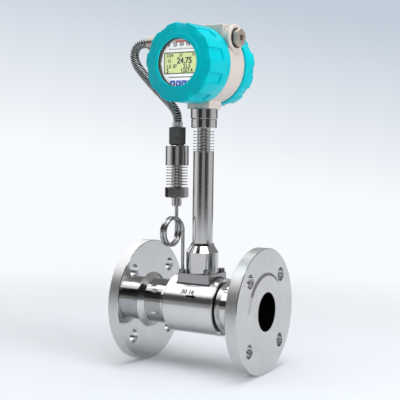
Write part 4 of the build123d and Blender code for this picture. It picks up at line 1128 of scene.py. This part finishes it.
sky = add_node(
    world, "ShaderNodeMixShader",
    {0: (shown, "Value"), 1: (ambient, "Background"), 2: (seen, "Background")},
)
add_node(world, "ShaderNodeOutputWorld", {"Surface": (sky, "Shader")})
bpy.context.scene.view_settings.view_transform = "Standard"
print("the sky lights the meter at a strength of", AMBIENT)

# %% [markdown]
# Three soft lamps light the meter. The top one hangs overhead, a little to the front and the
# right, and steel that faces up mirrors it. The left and the right one fill the painted pieces.
# They are hidden from mirrors, because a square lamp in polished steel would look like a white
# patch. Each row of the list is a lamp's name, its azimuth and elevation in degrees, its distance
# and its side in metres, its watts, and if mirrors show it.

# %% Lamps
# Lamps and cards are placed round this point.
MIDDLE = Vector((0.085, 0.0, 0.14))
lamps = [
    ("top_lamp", 50.0, 78.0, 1.6, 1.4, 20.0, True),
    ("left_lamp", -70.0, 10.0, 2.0, 1.0, 4.5, False),
    ("right_lamp", 80.0, 12.0, 2.0, 1.0, 24.0, False),
]
for name, azimuth, elevation, distance, side, power, mirrored in lamps:
    away = outward(azimuth, elevation)
    holder = in_scene(name, bpy.data.lights.new(name, "AREA"))
    holder.data.size = side
    holder.data.energy = power
    facing = away.to_track_quat("Z", "Y").to_matrix().to_4x4()
    holder.matrix_world = Matrix.Translation(MIDDLE + away * distance) @ facing
    holder.visible_glossy = mirrored
print(len(lamps), "soft lamps are up")

# %% [markdown]
# The dial lies deep behind its window, so the big lamps hardly reach it. A snoot is a lamp with a
# long tube in front that throws a spot just as wide as the window. It stands a metre away, turned
# from the dial's own axis towards the camera by 20 degrees.

# %% Snoot for the dial
SNOOT_DISTANCE = 1.0
SNOOT_TURN = math.radians(20)
SNOOT_POWER = 30.0
SNOOT_OPENING = 0.004
SPOT_RADIUS = 29.0 * MM
SPOT_EDGE = 0.05
WINDOW_FACE = 63.0 * MM

snoot = in_scene("dial_snoot", bpy.data.lights.new("dial_snoot", "SPOT"))
snoot.data.energy = SNOOT_POWER
snoot.data.spot_size = 2 * math.atan(SPOT_RADIUS / SNOOT_DISTANCE)
snoot.data.spot_blend = SPOT_EDGE
snoot.data.shadow_soft_size = SNOOT_OPENING
snoot.matrix_world = (
    HEAD
    @ Matrix.Translation((0.0, 0.0, WINDOW_FACE))
    @ Matrix.Rotation(SNOOT_TURN, 4, "Y")
    @ Matrix.Translation((0.0, 0.0, SNOOT_DISTANCE))
)
snoot.visible_glossy = False
print("the snoot's spot is", round(math.degrees(snoot.data.spot_size), 2), "degrees wide")

# %% [markdown]
# Polished steel has no look of its own: it shows what stands round it. In a studio it stands
# among grey, white and black cards. Each card here is a flat sheet that only reflections can see.
# A round tube shows the whole ring of cards from edge to edge, which gives it its dark and bright
# stripes. A picture of a studio would do the same, but it would have to be read from a file.

# %% One card
CARD_DISTANCE = 2.2
CARD_LOW = -5.7
CARD_TOP = 8.0


def studio_card(name, azimuth, width, low, high, tone, strength=1.0):
    """An upright card at an azimuth, between two elevations, that only reflections show."""
    half_width = CARD_DISTANCE * math.tan(math.radians(width / 2))
    bottom = MIDDLE.z + CARD_DISTANCE * math.tan(math.radians(low))
    top_edge = MIDDLE.z + CARD_DISTANCE * math.tan(math.radians(high))
    away = outward(azimuth, 0.0)
    middle = Vector((MIDDLE.x, MIDDLE.y, (bottom + top_edge) / 2)) + away * CARD_DISTANCE
    facing = away.to_track_quat("Z", "Y").to_matrix().to_4x4()
    form = bmesh.new()
    bmesh.ops.create_grid(form, x_segments=1, y_segments=1, size=1.0)
    bmesh.ops.scale(form, verts=form.verts, vec=(half_width, (top_edge - bottom) / 2, 1.0))
    bmesh.ops.transform(form, matrix=Matrix.Translation(middle) @ facing, verts=form.verts)
    card = as_piece(name, form)
    felt = new_finish(name)
    light = add_node(felt, "ShaderNodeEmission", {"Color": linear(tone), "Strength": strength})
    show(felt, light, "Emission")
    card.data.materials.append(felt)
    card.visible_camera = False
    card.visible_shadow = False
    card.visible_diffuse = False
    card.visible_transmission = False


print("a card stands", CARD_DISTANCE, "m away, up to", CARD_TOP, "degrees")

# %% [markdown]
# The ring has no gaps worth seeing, and its greys follow the stripes that the photo shows on the
# stem. Each row is a card's kind, its azimuth and its width in degrees, and its tone.

# %% Ring of cards
ring_of_cards = [
    ("white", -62.0, 44.0, "#FAFAFA"),
    ("dim", -30.0, 20.0, "#A0A0A0"),
    ("black", -3.0, 34.0, "#383838"),
    ("grey", 30.0, 32.0, "#A4A4A4"),
    ("black", 62.0, 32.0, "#444444"),
    ("grey", 85.0, 14.0, "#989898"),
    ("white", 122.0, 60.0, "#E4E4E4"),
    ("dim", 172.0, 40.0, "#808080"),
    ("grey", 210.0, 36.0, "#C0C0C0"),
    ("black", 243.0, 30.0, "#303030"),
    ("dim", 267.0, 18.0, "#A8A8A8"),
]
for i, (kind, azimuth, width, tone) in enumerate(ring_of_cards):
    studio_card(f"{kind}_card_{i}", azimuth, width, CARD_LOW, CARD_TOP, tone)
print("stood", len(ring_of_cards), "cards in a ring")

# %% [markdown]
# Above the ring hang dark flags and white soft boxes. The boxes are the bright line along the
# sleeve, and the flags are the dark band under it. Each row is a name, an azimuth and a width,
# the elevations it reaches from and to, its tone and its strength.

# %% Flags and soft boxes
LEFT_BOX_LOW = 35.0
RIGHT_BOX_LOW = 44.0
FLAG_TOP = 63.0
BOX_STRENGTH = 1.9
high_cards = [
    ("front_flag", 0.0, 70.0, CARD_TOP, FLAG_TOP, "#3C3C3C", 1.0),
    ("left_flag", -65.0, 60.0, CARD_TOP, LEFT_BOX_LOW, "#5A5A5A", 1.0),
    ("left_soft_box", -65.0, 60.0, LEFT_BOX_LOW, FLAG_TOP, "#FFFFFF", BOX_STRENGTH),
    ("right_flag", 65.0, 60.0, CARD_TOP, RIGHT_BOX_LOW, "#141414", 1.0),
    ("right_soft_box", 65.0, 60.0, RIGHT_BOX_LOW, FLAG_TOP, "#FFFFFF", BOX_STRENGTH),
    ("outlet_flag", 125.0, 60.0, CARD_TOP, FLAG_TOP, "#989898", 1.0),
    ("back_flag", 185.0, 60.0, CARD_TOP, FLAG_TOP, "#A0A0A0", 1.0),
    ("inlet_soft_box", 240.0, 50.0, CARD_TOP, FLAG_TOP, "#FFFFFF", BOX_STRENGTH),
]
for row in high_cards:
    studio_card(*row)
print("hung", len(high_cards), "flags and soft boxes above the ring")
